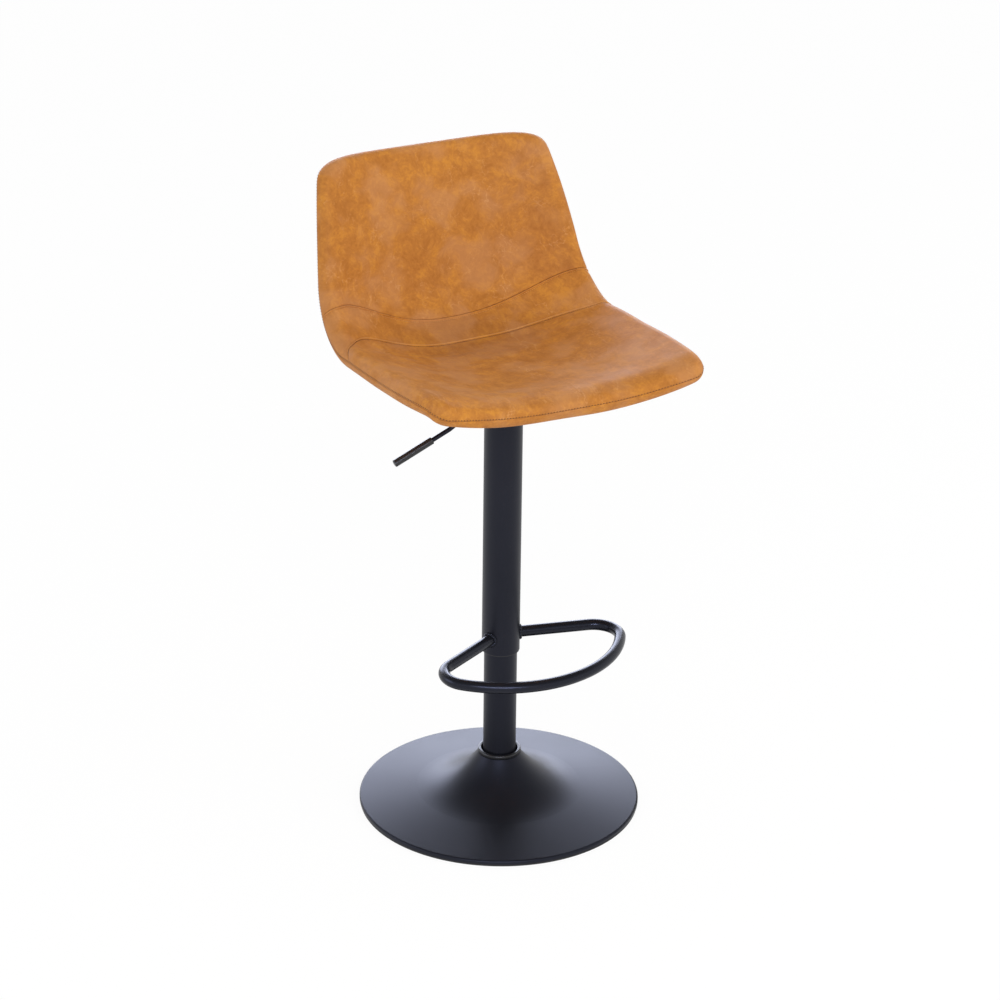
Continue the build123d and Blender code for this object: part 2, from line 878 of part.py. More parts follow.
def cover_sketch(distance, pocket):
    """Cross section of the rear cover, solid at its ends and hollow where it holds the shell."""
    section = SeatSection(distance, pocket_inset)
    face_depth = shell_depth + (seat_depth - shell_depth) * section.nose
    with BuildSketch(section.plane) as sketch:
        with BuildLine():
            if pocket:
                section.tray(face_depth, shell_depth, cover_depth)
            else:
                section.padded(face_depth, shell_depth)
        make_face()
    return sketch.sketch


pad_spans = {
    "seat_pad": (0.0, seam_low),
    "lumbar_pad": (seam_low, seam_high),
    "back_pad": (seam_high, seat_length),
}
for pad_name, (pad_start, pad_end) in pad_spans.items():
    pad_stations = [step for step in stations if pad_start <= step <= pad_end]
    pad_sections = [pad_sketch(distance) for distance in pad_stations]
    with BuildPart() as pad:
        loft(pad_sections, ruled=True)
    save(pad, pad_name)

pocket_end = seat_length - pocket_inset
front_block = [step for step in stations if step <= pocket_inset]
pocket_run = [step for step in stations if pocket_inset <= step <= pocket_end]
top_block = [step for step in stations if step >= pocket_end]
shell_stations = [shell_inset] + pocket_run[1:-1] + [seat_length - shell_inset]

with BuildPart() as seat_shell:
    loft([shell_sketch(distance) for distance in shell_stations], ruled=True)
    with BuildSketch(plate_plane):
        with bolt_grid:
            Circle(tee_barrel_radius + press_clearance)
    extrude(amount=seat_depth, mode=Mode.SUBTRACT)
    with BuildSketch(plate_plane.offset(tee_top)):
        with bolt_grid:
            Circle(tee_flange_radius + press_clearance)
    extrude(amount=pad_thickness, mode=Mode.SUBTRACT)
save(seat_shell, "seat_shell")

with BuildPart() as back_cover:
    loft([cover_sketch(distance, pocket=False) for distance in front_block], ruled=True)
    loft([cover_sketch(distance, pocket=True) for distance in pocket_run], ruled=True)
    loft([cover_sketch(distance, pocket=False) for distance in top_block], ruled=True)
    with BuildSketch(plate_plane):
        with bolt_grid:
            Circle(screw_hole_radius)
    extrude(amount=seat_depth / 2, mode=Mode.SUBTRACT)
save(back_cover, "back_cover")

with BuildPart() as tee_nuts:
    with BuildSketch(plate_plane.offset(tee_top)):
        with bolt_grid:
            Circle(tee_flange_radius)
    extrude(amount=tee_flange_thickness)
    with BuildSketch(plate_plane.offset(tee_top)):
        with bolt_grid:
            Circle(tee_barrel_radius)
    extrude(amount=-tee_barrel_length)
    with BuildSketch(plate_plane.offset(tee_top - tee_barrel_length)):
        with bolt_grid:
            Circle(screw_radius + press_clearance)
    extrude(amount=tee_barrel_length + tee_flange_thickness, mode=Mode.SUBTRACT)
save(tee_nuts, "tee_nuts")

# Seat mechanism

plate_underside = plate_plane.offset(-plate_thickness)

with BuildPart() as seat_plate:
    with BuildSketch(plate_underside):
        RectangleRounded(plate_size, plate_size, plate_corner)
        with bolt_grid:
            Circle(screw_hole_radius, mode=Mode.SUBTRACT)
    extrude(amount=plate_thickness)
save(seat_plate, "seat_plate")

with BuildPart() as seat_washers:
    with BuildSketch(plate_underside):
        with bolt_grid:
            Circle(washer_radius)
        with bolt_grid:
            Circle(screw_hole_radius, mode=Mode.SUBTRACT)
    extrude(amount=-washer_thickness)
save(seat_washers, "seat_washers")

with BuildPart() as seat_bolts:
    with BuildSketch(plate_underside.offset(-washer_thickness)):
        with bolt_grid:
            RegularPolygon(screw_head_flats / 2, 6, major_radius=False)
    extrude(amount=-screw_head_height)
    with BuildSketch(plate_underside.offset(-washer_thickness)):
        with bolt_grid:
            Circle(screw_radius)
    extrude(amount=washer_thickness + plate_thickness + tee_top)
save(seat_bolts, "seat_bolts")

with BuildPart() as hub_sleeve:
    taper_slope = taper_drop / taper_length
    bore_bottom = cylinder_radius - (sleeve_bottom - cylinder_top + taper_length) * taper_slope
    bore_top = bore_bottom - hub_sleeve_length * taper_slope
    with BuildSketch(Plane.XZ):
        Polygon(
            (bore_bottom + press_clearance, sleeve_bottom),
            (hub_sleeve_radius, sleeve_bottom),
            (hub_sleeve_radius, bracket_floor_top),
            (bore_top + press_clearance, bracket_floor_top),
            align=None,
        )
    revolve(axis=Axis.Z)
save(hub_sleeve, "hub_sleeve")

with BuildPart() as lever_bracket:
    with BuildSketch(Plane.XY.offset(bracket_bottom)):
        Rectangle(bracket_length, bracket_width)
    extrude(amount=bracket_width)
    with BuildSketch(Plane.XY.offset(bracket_floor_top)):
        Rectangle(bracket_length, bracket_width - 2 * bracket_wall)
    extrude(amount=bracket_width, mode=Mode.SUBTRACT)
    with BuildSketch(Plane.XY.offset(bracket_bottom)):
        Circle(hub_sleeve_radius + press_clearance)
    extrude(amount=bracket_wall, mode=Mode.SUBTRACT)
    with BuildSketch(Plane.XZ):
        with Locations((pivot_out, lever_height)):
            Circle(pivot_radius + press_clearance)
    extrude(amount=bracket_width, both=True, mode=Mode.SUBTRACT)
    split(bisect_by=plate_underside, keep=Keep.BOTTOM)
save(lever_bracket, "lever_bracket")

with BuildPart() as lever_pivot_pin:
    with BuildSketch(Plane.XZ.offset(bracket_width / 2)):
        with Locations((pivot_out, lever_height)):
            Circle(pivot_head_radius)
    extrude(amount=pivot_head_height)
    with BuildSketch(Plane.XZ.offset(bracket_width / 2)):
        with Locations((pivot_out, lever_height)):
            Circle(pivot_radius)
    extrude(amount=-bracket_width - pivot_head_height)
save(lever_pivot_pin, "lever_pivot_pin")

# Height lever

tip_run = (lever_tip_out - lever_elbow_out, lever_tip_height - lever_elbow_height)
tip_run_length = sqrt(tip_run[0] ** 2 + tip_run[1] ** 2)
tip_direction = (tip_run[0] / tip_run_length, 0, tip_run[1] / tip_run_length)
grip_plane = Plane(
    origin=(lever_tip_out, 0, lever_tip_height), x_dir=(0, 1, 0), z_dir=tip_direction
)

with BuildPart() as lever_rod:
    with BuildLine(Plane.XZ) as lever_path:
        FilletPolyline(
            (lever_inner_end, lever_height),
            (lever_knee, lever_height),
            (lever_elbow_out, lever_elbow_height),
            (
                lever_tip_out - tip_direction[0] * grip_end_wall,
                lever_tip_height - tip_direction[2] * grip_end_wall,
            ),
            radius=lever_bend,
        )
    with BuildSketch(Plane.YZ.offset(lever_inner_end)):
        with Locations((0, lever_height)):
            Circle(lever_rod_radius)
    sweep(path=lever_path.line)
    boss_length = bracket_width - 2 * bracket_wall - 2 * layer_gap
    with BuildSketch(Plane.XZ):
        with Locations((pivot_out, lever_height)):
            Circle(pivot_boss_radius)
    extrude(amount=boss_length / 2, both=True)
    with BuildSketch(Plane.XZ):
        with Locations((pivot_out, lever_height)):
            Circle(pivot_radius + press_clearance)
    extrude(amount=boss_length, both=True, mode=Mode.SUBTRACT)
save(lever_rod, "lever_rod")

with BuildPart() as lever_grip:
    with BuildSketch(grip_plane):
        Circle(grip_radius)
    extrude(amount=-grip_length)
    end_edges = lever_grip.edges().filter_by(GeomType.CIRCLE)
    fillet(end_edges.sort_by(Axis.X)[0], radius=grip_tip_round)
    fillet(end_edges.sort_by(Axis.X)[-1], radius=grip_mouth_round)
    with BuildSketch(grip_plane.offset(-grip_end_wall)):
        Circle(lever_rod_radius + press_clearance)
    extrude(amount=-grip_length, mode=Mode.SUBTRACT)
save(lever_grip, "lever_grip")
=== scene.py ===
import json
import logging
import math
from collections.abc import Callable
from dataclasses import dataclass
from enum import Enum
from functools import cached_property

import bpy
import numpy as np
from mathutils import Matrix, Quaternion, Vector


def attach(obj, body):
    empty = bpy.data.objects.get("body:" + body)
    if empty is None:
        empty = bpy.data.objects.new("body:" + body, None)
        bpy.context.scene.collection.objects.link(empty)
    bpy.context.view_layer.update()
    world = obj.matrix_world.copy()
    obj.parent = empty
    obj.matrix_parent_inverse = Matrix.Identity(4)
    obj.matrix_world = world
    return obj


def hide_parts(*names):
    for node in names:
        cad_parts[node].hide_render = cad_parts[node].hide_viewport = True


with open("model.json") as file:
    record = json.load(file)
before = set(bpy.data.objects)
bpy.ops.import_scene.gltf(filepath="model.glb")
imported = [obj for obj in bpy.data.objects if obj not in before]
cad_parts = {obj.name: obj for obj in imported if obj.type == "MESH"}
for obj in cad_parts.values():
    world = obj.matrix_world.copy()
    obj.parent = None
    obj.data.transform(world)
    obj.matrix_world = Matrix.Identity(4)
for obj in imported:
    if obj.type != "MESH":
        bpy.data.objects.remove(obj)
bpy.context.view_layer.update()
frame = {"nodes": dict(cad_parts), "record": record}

# Adjustable swivel stool: the looks of the upholstered bucket seat, the metalwork and the studio.
# Forms are worked out in millimetres in the part's own frame and go into their meshes in metres.

MM = 0.001
TINY = 1e-9
TIP_SHARE = 0.05
CLOTH = {
    "quality": 6,
    "mass": 0.3,
    "tension_stiffness": 30.0,
    "compression_stiffness": 30.0,
    "shear_stiffness": 12.0,
    "bending_stiffness": 2.0,
    "use_pressure": True,
    "vertex_group_mass": "sewn",
}
LOG = logging.getLogger("stool")

Array = np.ndarray
Material = bpy.types.Material
Thing = bpy.types.Object
Band = tuple[float, float]
Triple = tuple[float, float, float]
Colour = Triple
WHITE = (1.0, 1.0, 1.0)


class Body(str, Enum):
    """Bodies that new pieces ride on."""

    LIFT = "lift"


class Slot(str, Enum):
    """Material slots that new pieces are passed with."""

    LEATHER = "tan_leather"
    SATIN = "black_satin"


# Shader helpers


def math_node(operation: str, swapped: bool = False) -> "Callable[[Value, Value | float], Value]":
    """An operator that adds one Math node to its value's shader.

    Args:
        operation: the Math node's operation.
        swapped: whether the value comes second of the two.

    Returns:
        The operator.
    """

    def operator(value: "Value", other: "Value | float") -> "Value":
        """Add the node and take its result."""
        first, second = (other, value) if swapped else (value, other)
        return value.shader.node("ShaderNodeMath", {"operation": operation}, {0: first, 1: second})

    return operator


class Value:
    """A shader socket that joins in sums: each operator adds one Math node."""

    __add__, __radd__ = math_node("ADD"), math_node("ADD", swapped=True)
    __sub__, __rsub__ = math_node("SUBTRACT"), math_node("SUBTRACT", swapped=True)
    __mul__, __rmul__ = math_node("MULTIPLY"), math_node("MULTIPLY", swapped=True)

    def __init__(self, shader: "Nodes", socket: bpy.types.NodeSocket) -> None:
        """Keep the socket and the shader that it belongs to."""
        self.shader = shader
        self.socket = socket

    def distance_from(self, level: float) -> "Value":
        """How far the value lies from a level, either way."""
        return math_node("ABSOLUTE")(self - level, 0.0)

    def ease(self, low: float, high: float) -> "Value":
        """Smooth step from 0 at low to 1 at high."""
        settings = {"interpolation_type": "SMOOTHSTEP"}
        return self.shader.node("ShaderNodeMapRange", settings, {"Value": self, "From Min": low, "From Max": high})


@dataclass(frozen=True)
class Grain:
    """How fine a noise is: its waves to the metre, detail and roughness."""

    scale: float
    detail: float = 2.0
    roughness: float = 0.5


class Nodes:
    """The nodes of one material, or of the surround."""

    def __init__(self, holder: "bpy.types.Material | bpy.types.World") -> None:
        """Start with no nodes.

        Args:
            holder: the material or the surround.
        """
        holder.use_nodes = True
        self.tree = holder.node_tree
        self.tree.nodes.clear()

    def node(self, kind: str, settings: dict | None = None, inputs: dict | None = None,
             output: int | str | None = 0) -> Value | None:
        """Add any node.

        Args:
            kind: the node's type.
            settings: what is set on the node first; "stops" are a ramp's places and colours.
            inputs: values or links of its sockets, by name or number.
            output: the socket that is returned, if any.

        Returns:
            The chosen output.
        """
        made = self.tree.nodes.new(kind)
        for name, value in (settings or {}).items():
            if name == "stops":
                ramp = made.color_ramp.elements
                while len(ramp) < len(value):
                    ramp.new(1.0)
                for stop, (place, colour) in zip(ramp, value):
                    stop.position = place
                    stop.color = (*colour, 1.0)
            else:
                setattr(made, name, value)
        for name, value in (inputs or {}).items():
            self.feed(made.inputs[name], value)
        return None if output is None else Value(self, made.outputs[output])

    def feed(self, socket: bpy.types.NodeSocket, value: Value | float | tuple) -> None:
        """Link a value to a socket, or set the socket to a number or colour.

        Args:
            socket: the socket.
            value: what it is fed.
        """
        if isinstance(value, Value):
            self.tree.links.new(value.socket, socket)
        elif socket.type == "RGBA":
            socket.default_value = (*value, 1.0)
        else:
            socket.default_value = value

    def light(self, name: str) -> Value:
        """Whether a ray is of a kind, such as Is Camera Ray."""
        return self.node("ShaderNodeLightPath", output=name)

    def place(self) -> Value:
        """Object coordinates, in metres."""
        return self.node("ShaderNodeTexCoord", output="Object")

    def stretch(self, where: Value, scale: Triple, turn: Triple = (0.0, 0.0, 0.0)) -> Value:
        """Coordinates turned and scaled, so that noise is drawn out where the scale is small."""
        return self.node("ShaderNodeMapping", None, {"Vector": where, "Rotation": turn, "Scale": scale})

    def noise(self, where: Value, grain: Grain) -> Value:
        """Noise from 0 to 1."""
        inputs = {"Vector": where, "Scale": grain.scale, "Detail": grain.detail, "Roughness": grain.roughness}
        return self.node("ShaderNodeTexNoise", None, inputs)

    def warp(self, where: Value, scale: float, reach: float) -> Value:
        """Coordinates pushed about by noise.

        Args:
            where: the coordinates.
            scale: waves of the noise to the metre.
            reach: how far they are pushed, in metres.

        Returns:
            The pushed coordinates.
        """
        swirl = self.node("ShaderNodeTexNoise", None, {"Vector": where, "Scale": scale}, "Color")
        centred = self.node("ShaderNodeVectorMath", {"operation": "SUBTRACT"}, {0: swirl, 1: (0.5, 0.5, 0.5)})
        scaled = self.node("ShaderNodeVectorMath", {"operation": "SCALE"}, {0: centred, "Scale": 2 * reach})
        return self.node("ShaderNodeVectorMath", {"operation": "ADD"}, {0: where, 1: scaled})

    def blend(self, share: Value, first: Value | Colour, second: Value | Colour, how: str = "MIX") -> Value:
        """Colour between two, by share, or towards their product where how is MULTIPLY."""
        settings = {"data_type": "RGBA", "blend_type": how}
        return self.node("ShaderNodeMix", settings, {0: share, 6: first, 7: second}, 2)

    def bump(self, height: Value, strength: float, distance: float) -> Value:
        """Normal of a surface with bumps, whose full height is a distance in metres."""
        return self.node("ShaderNodeBump", None, {"Height": height, "Strength": strength, "Distance": distance})


class Shader(Nodes):
    """A material round one Principled shader."""

    def __init__(self, name: str) -> None:
        """Start a material.

        Args:
            name: its name.
        """
        self.material = bpy.data.materials.new(name)
        super().__init__(self.material)
        self.principled = self.tree.nodes.new("ShaderNodeBsdfPrincipled")
        self.output = self.tree.nodes.new("ShaderNodeOutputMaterial")
        self.lit = Value(self, self.principled.outputs["BSDF"])
        self.show(self.lit)

    def show(self, shown: Value) -> None:
        """Make a shader the material's surface."""
        self.feed(self.output.inputs["Surface"], shown)

    def finish(self, **inputs: Value | float | tuple) -> Material:
        """Set the Principled shader's sockets.

        Args:
            inputs: sockets by name, with underscores for spaces.

        Returns:
            The material.
        """
        for name, value in inputs.items():
            self.feed(self.principled.inputs[name.replace("_", " ")], value)
        return self.material


# Finishes


@dataclass(frozen=True)
class MottledLeather:
    """Tan leather cloth, mottled and scuffed, with a fine pebbled grain."""

    name: str
    deep: Colour = (0.395, 0.143, 0.024)
    body: Colour = (0.462, 0.174, 0.031)
    warm: Colour = (0.560, 0.226, 0.034)
    # Pinkish painted sheen.
    painted_sheen: Colour = (0.525, 0.245, 0.100)
    scuff: Colour = (0.620, 0.310, 0.110)
    # Painted shade, multiplied into the hollow round the lower seam.
    shade: Colour = (0.80, 0.78, 0.80)
    sheen: Colour = (1.0, 0.90, 0.84)
    sheen_weight: float = 0.04
    sheen_rough: float = 0.45
    specular: float = 0.10
    rough: float = 0.50
    blotch_rough: float = 0.14
    scuff_rough: float = 0.06
    stir: Band = (22.0, 0.014)
    slant: Triple = (0.5, 0.6, 0.7)
    slant_scale: Triple = (1.0, 0.4, 1.0)
    clouds: Grain = Grain(10.0, 3.0)
    blotches: Grain = Grain(42.0, 4.0, 0.6)
    streaks: Grain = Grain(90.0, 3.0, 0.6)
    flecks: Grain = Grain(230.0, 3.0, 0.65)
    tone_shares: tuple[float, ...] = (0.12, 0.34, 0.28, 0.26)
    tone_stops: Triple = (0.41, 0.50, 0.595)
    # Random patches of the painted sheen.
    painted_sheen_grain: Grain = Grain(17.0, 3.0)
    painted_sheen_band: Band = (0.42, 0.66)
    painted_sheen_share: float = 0.46
    fleck_band: Band = (0.34, 0.60)
    scuff_share: float = 0.50
    scuff_ways: tuple[tuple[Triple, float], ...] = (((0.4, 0.9, 0.6), 26.0), ((-0.5, 0.3, -0.8), 33.0))
    scuff_stir: Band = (14.0, 0.012)
    scuff_scale: Triple = (1.0, 0.16, 1.0)
    hair_width: float = 0.022
    hair_patches: float = 3.0
    patch_band: Band = (0.50, 0.66)
    # Share of the scuff tone that paints the welts paler.
    pale_share: float = 0.55
    pebble_scale: float = 620.0
    pores: Grain = Grain(240.0, 3.0)
    grain_share: float = 0.20
    grain_height: float = 0.0006

    def make(self) -> Material:
        """Clouds, blotches and flecks set the tone under random patches of pinkish painted sheen, and fine slanting
        scuffs lie over them.

        Returns:
            The material.
        """
        shader = Shader(self.name)
        where = shader.place()
        stirred = shader.warp(where, *self.stir)
        slanted = shader.stretch(stirred, self.slant_scale, self.slant)
        blotches, flecks = shader.noise(stirred, self.blotches), shader.noise(stirred, self.flecks)
        layers = (shader.noise(where, self.clouds), blotches, shader.noise(slanted, self.streaks), flecks)
        tone = sum(layer * share for layer, share in zip(layers, self.tone_shares))
        stops = list(zip(self.tone_stops, (self.deep, self.body, self.warm)))
        colour = shader.node("ShaderNodeValToRGB", {"stops": stops}, {"Fac": tone}, "Color")
        # Pinkish painted sheen, laid over the tone in random cloudy patches.
        painted_sheen_patches = shader.noise(stirred, self.painted_sheen_grain).ease(*self.painted_sheen_band)
        colour = shader.blend(painted_sheen_patches * self.painted_sheen_share, colour, self.painted_sheen)
        scuffs = self.scuffs(shader, where) * flecks.ease(*self.fleck_band)
        colour = shader.blend(scuffs * self.scuff_share, colour, self.scuff)
        # A point attribute paints the welts paler where it is above 0 and multiplies in painted shade where it is
        # below 0.
        wear = shader.node("ShaderNodeAttribute", {"attribute_name": "wear"}, output="Fac")
        colour = shader.blend(wear.ease(0.0, 1.0) * self.pale_share, colour, self.scuff)
        colour = shader.blend((0 - wear).ease(0.0, 1.0), colour, self.shade, "MULTIPLY")
        cells = {"Vector": where, "Scale": self.pebble_scale}
        pebbles = shader.node("ShaderNodeTexVoronoi", {"feature": "SMOOTH_F1"}, cells)
        height = pebbles + shader.noise(where, self.pores)
        return shader.finish(
            Base_Color=colour,
            Roughness=self.rough + blotches * self.blotch_rough - scuffs * self.scuff_rough,
            Normal=shader.bump(height, self.grain_share, self.grain_height),
            Specular_IOR_Level=self.specular,
            Sheen_Weight=self.sheen_weight,
            Sheen_Roughness=self.sheen_rough,
            Sheen_Tint=self.sheen,
        )

    def scuffs(self, shader: Shader, where: Value) -> Value:
        """Fine hairs of wear: level lines of drawn-out noise, lying two ways and shown in patches only.

        Args:
            shader: the leather's shader.
            where: its coordinates.

        Returns:
            How far each place is scuffed.
        """
        total = 0.0
        for turn, scale in self.scuff_ways:
            drawn = shader.stretch(shader.warp(where, *self.scuff_stir), self.scuff_scale, turn)
            hairs = 1 - shader.noise(drawn, Grain(2 * scale)).distance_from(0.5).ease(0.0, self.hair_width)
            total = total + hairs * shader.noise(drawn, Grain(scale, self.hair_patches)).ease(*self.patch_band)
        return total


@dataclass(frozen=True)
class PowderCoat:
    """Satin black powder coat with a slight orange peel."""

    name: str
    dark: Colour = (0.0060, 0.0063, 0.0088)
    pale: Colour = (0.0085, 0.0089, 0.0120)
    dusty: Colour = (0.09, 0.09, 0.095)
    tint: Colour = (0.70, 0.74, 1.0)
    specular: float = 0.28
    rough: float = 0.36
    cloud_rough: float = 0.10
    dust_rough: float = 0.12
    clouds: Grain = Grain(7.0, 4.0)
    cloud_band: Band = (0.3, 0.7)
    dust: Grain = Grain(420.0)
    dust_band: Band = (0.66, 0.80)
    dust_share: float = 0.10
    peel: Grain = Grain(850.0)
    peel_share: float = 0.10
    peel_height: float = 0.0003

    def make(self) -> Material:
        """Cloudy tone and gloss, with fine dust specks and peel.

        Returns:
            The material.
        """
        shader = Shader(self.name)
        where = shader.place()
        clouds = shader.noise(where, self.clouds)
        dust = shader.noise(where, self.dust).ease(*self.dust_band)
        colour = shader.blend(clouds.ease(*self.cloud_band), self.dark, self.pale)
        return shader.finish(
            Base_Color=shader.blend(dust * self.dust_share, colour, self.dusty),
            Roughness=self.rough + clouds * self.cloud_rough + dust * self.dust_rough,
            Normal=shader.bump(shader.noise(where, self.peel), self.peel_share, self.peel_height),
            Specular_IOR_Level=self.specular,
            Specular_Tint=self.tint,
        )


@dataclass(frozen=True)
class TwoTone:
    """A finish of two tones, mixed by slow clouds and a fine relief that may be drawn out along one direction."""

    name: str
    under: Colour
    over: Colour
    rough: float
    cloud_rough: float = 0.12
    relief_rough: float = 0.0
    clouds: Grain = Grain(16.0, 3.0)
    relief: Grain = Grain(1100.0, 3.0)
    draw: Triple = (1.0, 1.0, 1.0)
    relief_share: float = 0.3
    tone_band: Band = (0.35, 0.65)
    bump_share: float = 0.25
    bump_height: float = 0.0003
    metallic: float = 0.0

    def make(self) -> Material:
        """Clouds and relief set the tone and the gloss, and the relief also raises fine bumps.

        Returns:
            The material.
        """
        shader = Shader(self.name)
        where = shader.place()
        clouds = shader.noise(where, self.clouds)
        relief = shader.noise(shader.stretch(where, self.draw), self.relief)
        tone = clouds * (1 - self.relief_share) + relief * self.relief_share
        return shader.finish(
            Base_Color=shader.blend(tone.ease(*self.tone_band), self.under, self.over),
            Metallic=self.metallic,
            Roughness=self.rough + clouds * self.cloud_rough + relief * self.relief_rough,
            Normal=shader.bump(relief, self.bump_share, self.bump_height),
        )


@dataclass(frozen=True)
class Moulded(TwoTone):
    """Moulded plastic or rubber with a fine leathery skin."""


@dataclass(frozen=True)
class Thread(TwoTone):
    """Twisted sewing thread, whose fibres darken it in fine broken lines."""

    rough: float = 0.62
    cloud_rough: float = 0.0
    relief_rough: float = 0.2
    clouds: Grain = Grain(60.0)
    relief: Grain = Grain(1400.0)
    relief_share: float = 0.6
    bump_share: float = 0.4
    bump_height: float = 0.0002


@dataclass(frozen=True)
class BareMetal(TwoTone):
    """Plated, turned or pressed metal: fine tool marks along one direction, under cloudy tarnish."""

    cloud_rough: float = 0.14
    relief_rough: float = 0.06
    clouds: Grain = Grain(40.0, 4.0)
    relief: Grain = Grain(300.0, 3.0)
    draw: Triple = (1.0, 1.0, 12.0)
    tone_band: Band = (0.3, 0.7)
    bump_share: float = 0.12
    bump_height: float = 0.0002
    metallic: float = 1.0


@dataclass(frozen=True)
class Plywood(TwoTone):
    """Bare moulded veneer, whose grain is drawn out along the seat's depth."""

    under: Colour = (0.60, 0.42, 0.24)
    over: Colour = (0.42, 0.26, 0.13)
    rough: float = 0.55
    cloud_rough: float = 0.0
    relief_rough: float = 0.2
    relief: Grain = Grain(160.0, 6.0, 0.6)
    draw: Triple = (1.0, 0.06, 0.06)
    relief_share: float = 1.0
    tone_band: Band = (0.35, 0.7)
    bump_share: float = 0.2
    bump_height: float = 0.0004


# Mesh helpers


def grid_faces(rows: int, columns: int, wrap_rows: bool = False, wrap_columns: bool = False) -> Array:
    """Quads of a grid whose points are numbered row by row.

    Args:
        rows: rows of points.
        columns: points in a row.
        wrap_rows: whether the last row joins the first.
        wrap_columns: whether each row's end joins its start.

    Returns:
        Four point numbers for each quad.
    """
    row = np.arange(rows if wrap_rows else rows - 1)[:, None]
    column = np.arange(columns if wrap_columns else columns - 1)
    this_row, next_row = row * columns, (row + 1) % rows * columns
    after = (column + 1) % columns
    corners = (this_row + column, this_row + after, next_row + after, next_row + column)
    return np.stack(corners, -1).reshape(-1, 4)


def closed_pair(face: Array, inner: Array) -> tuple[Array, Array, Array]:
    """A closed form of two grids of points that share the face's border.

    Args:
        face: points of the outer grid.
        inner: points of the inner grid, as many.

    Returns:
        The points, the faces, and the kept points' numbers in the two grids, one grid after the other.
    """
    rows, columns = face.shape[:2]
    index = np.arange(rows * columns).reshape(rows, columns)
    below = index + rows * columns
    below[[0, -1]] = index[[0, -1]]
    below[:, [0, -1]] = index[:, [0, -1]]
    quads = grid_faces(rows, columns)
    faces = np.vstack([quads, below.reshape(-1)[quads][:, ::-1]])
    points = np.concatenate([face.reshape(-1, 3), inner.reshape(-1, 3)])
    used = np.unique(faces)
    number = np.zeros(len(points), int)
    number[used] = np.arange(len(used))
    return points[used], number[faces], used


def unit(vectors: Array) -> Array:
    """Vectors of length 1 in the same directions."""
    return vectors / np.maximum(np.linalg.norm(vectors, axis=-1, keepdims=True), TINY)


def smooth_step(share: Array) -> Array:
    """Cubic ease from 0 to 1."""
    share = np.clip(share, 0.0, 1.0)
    return share * share * (3 - 2 * share)


def quarter_round(share: Array) -> Array:
    """Quarter circle's height, from 0 at its end to 1."""
    return np.sqrt(1 - (1 - np.clip(share, 0.0, 1.0)) ** 2)


def bell(offset: Array, width: float) -> Array:
    """Gaussian bell, 1 where the offset is 0."""
    return np.exp(-((offset / width) ** 2))


def make_object(name: str, points: Array, faces: Array, material: Material) -> Thing:
    """A smooth mesh object at the origin.

    Args:
        name: the piece's name.
        points: its points in millimetres.
        faces: its faces as point numbers.
        material: its finish.

    Returns:
        The object, in the scene.
    """
    mesh = bpy.data.meshes.new(name)
    mesh.from_pydata((points.reshape(-1, 3) * MM).tolist(), [], faces.tolist())
    mesh.polygons.foreach_set("use_smooth", np.ones(len(mesh.polygons), bool))
    mesh.update()
    mesh.materials.append(material)
    made = bpy.data.objects.new(name, mesh)
    bpy.context.scene.collection.objects.link(made)
    return made


def ride(piece: Thing, body: Body, slot: Slot, *replaced: str) -> Thing:
    """Fix a piece to its body and hide the solids that it stands for.

    Args:
        piece: the piece.
        body: the body that carries it.
        slot: its material slot; not used.
        replaced: the solids' names.

    Returns:
        The piece.
    """
    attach(piece, body.value)
    if replaced:
        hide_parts(*replaced)
    LOG.info("%s rides on %s, %d faces", piece.name, body.value, len(piece.data.polygons))
    return piece


def refine(piece: Thing, levels: int = 1) -> None:
    """Finish a piece with subdivision, the same on screen and in the render.

    Args:
        piece: the piece.
        levels: how often its faces are divided.
    """
    modifier = piece.modifiers.new("round_off", "SUBSURF")
    modifier.levels = levels
    modifier.render_levels = levels


def closed_up(line: Array, closed: bool) -> Array:
    """A line whose first row follows its last again if it is closed."""
    return np.vstack([line, line[:1]]) if closed else line


def along_line(numbers: Array, line: Array) -> Array:
    """Values at numbers along a line's rows, whole and part."""
    return np.stack([np.interp(numbers, np.arange(len(line)), column) for column in line.T], -1)


def directions(path: Array, closed: bool) -> Array:
    """Which way a path runs at each of its points."""
    return unit(np.roll(path, -1, 0) - np.roll(path, 1, 0) if closed else np.gradient(path, axis=0))


def resample(path: Array, pitch: float, closed: bool) -> tuple[Array, Array]:
    """Even steps along a path.

    Args:
        path: its points.
        pitch: the step wanted, in millimetres.
        closed: whether the path's end joins its start.

    Returns:
        Numbers along the path's points, whole and part, and the path's points there.
    """
    line = closed_up(path, closed)
    length = np.concatenate([[0.0], np.cumsum(np.linalg.norm(np.diff(line, axis=0), axis=1))])
    count = max(2, int(round(length[-1] / pitch)))
    wanted = np.linspace(0.0, length[-1], count, endpoint=not closed)
    numbers = np.interp(wanted, length, np.arange(len(line), dtype=float))
    return numbers, along_line(numbers, line)


def tube(path: Array, normals: Array, radius: float, sides: int, closed: bool) -> tuple[Array, Array]:
    """A round tube: a circle carried along a path, square to it.

    Args:
        path: the tube's axis.
        normals: which way is up at each point.
        radius: the tube's radius.
        sides: points round the tube.
        closed: whether its end joins its start.

    Returns:
        The points and the faces; an open tube's ends are drawn in to a tip.
    """
    ahead = directions(path, closed)
    across = unit(np.cross(ahead, normals))
    up = np.cross(across, ahead)
    angle = np.linspace(0.0, 2 * np.pi, sides, endpoint=False)[None, :, None]
    size = np.full(len(path), radius)
    if not closed:
        size[[0, -1]] = radius * TIP_SHARE
    ring = np.cos(angle) * across[:, None] + np.sin(angle) * up[:, None]
    points = path[:, None] + ring * size[:, None, None]
    return points, grid_faces(len(path), sides, wrap_rows=closed, wrap_columns=True)


# Bucket seat


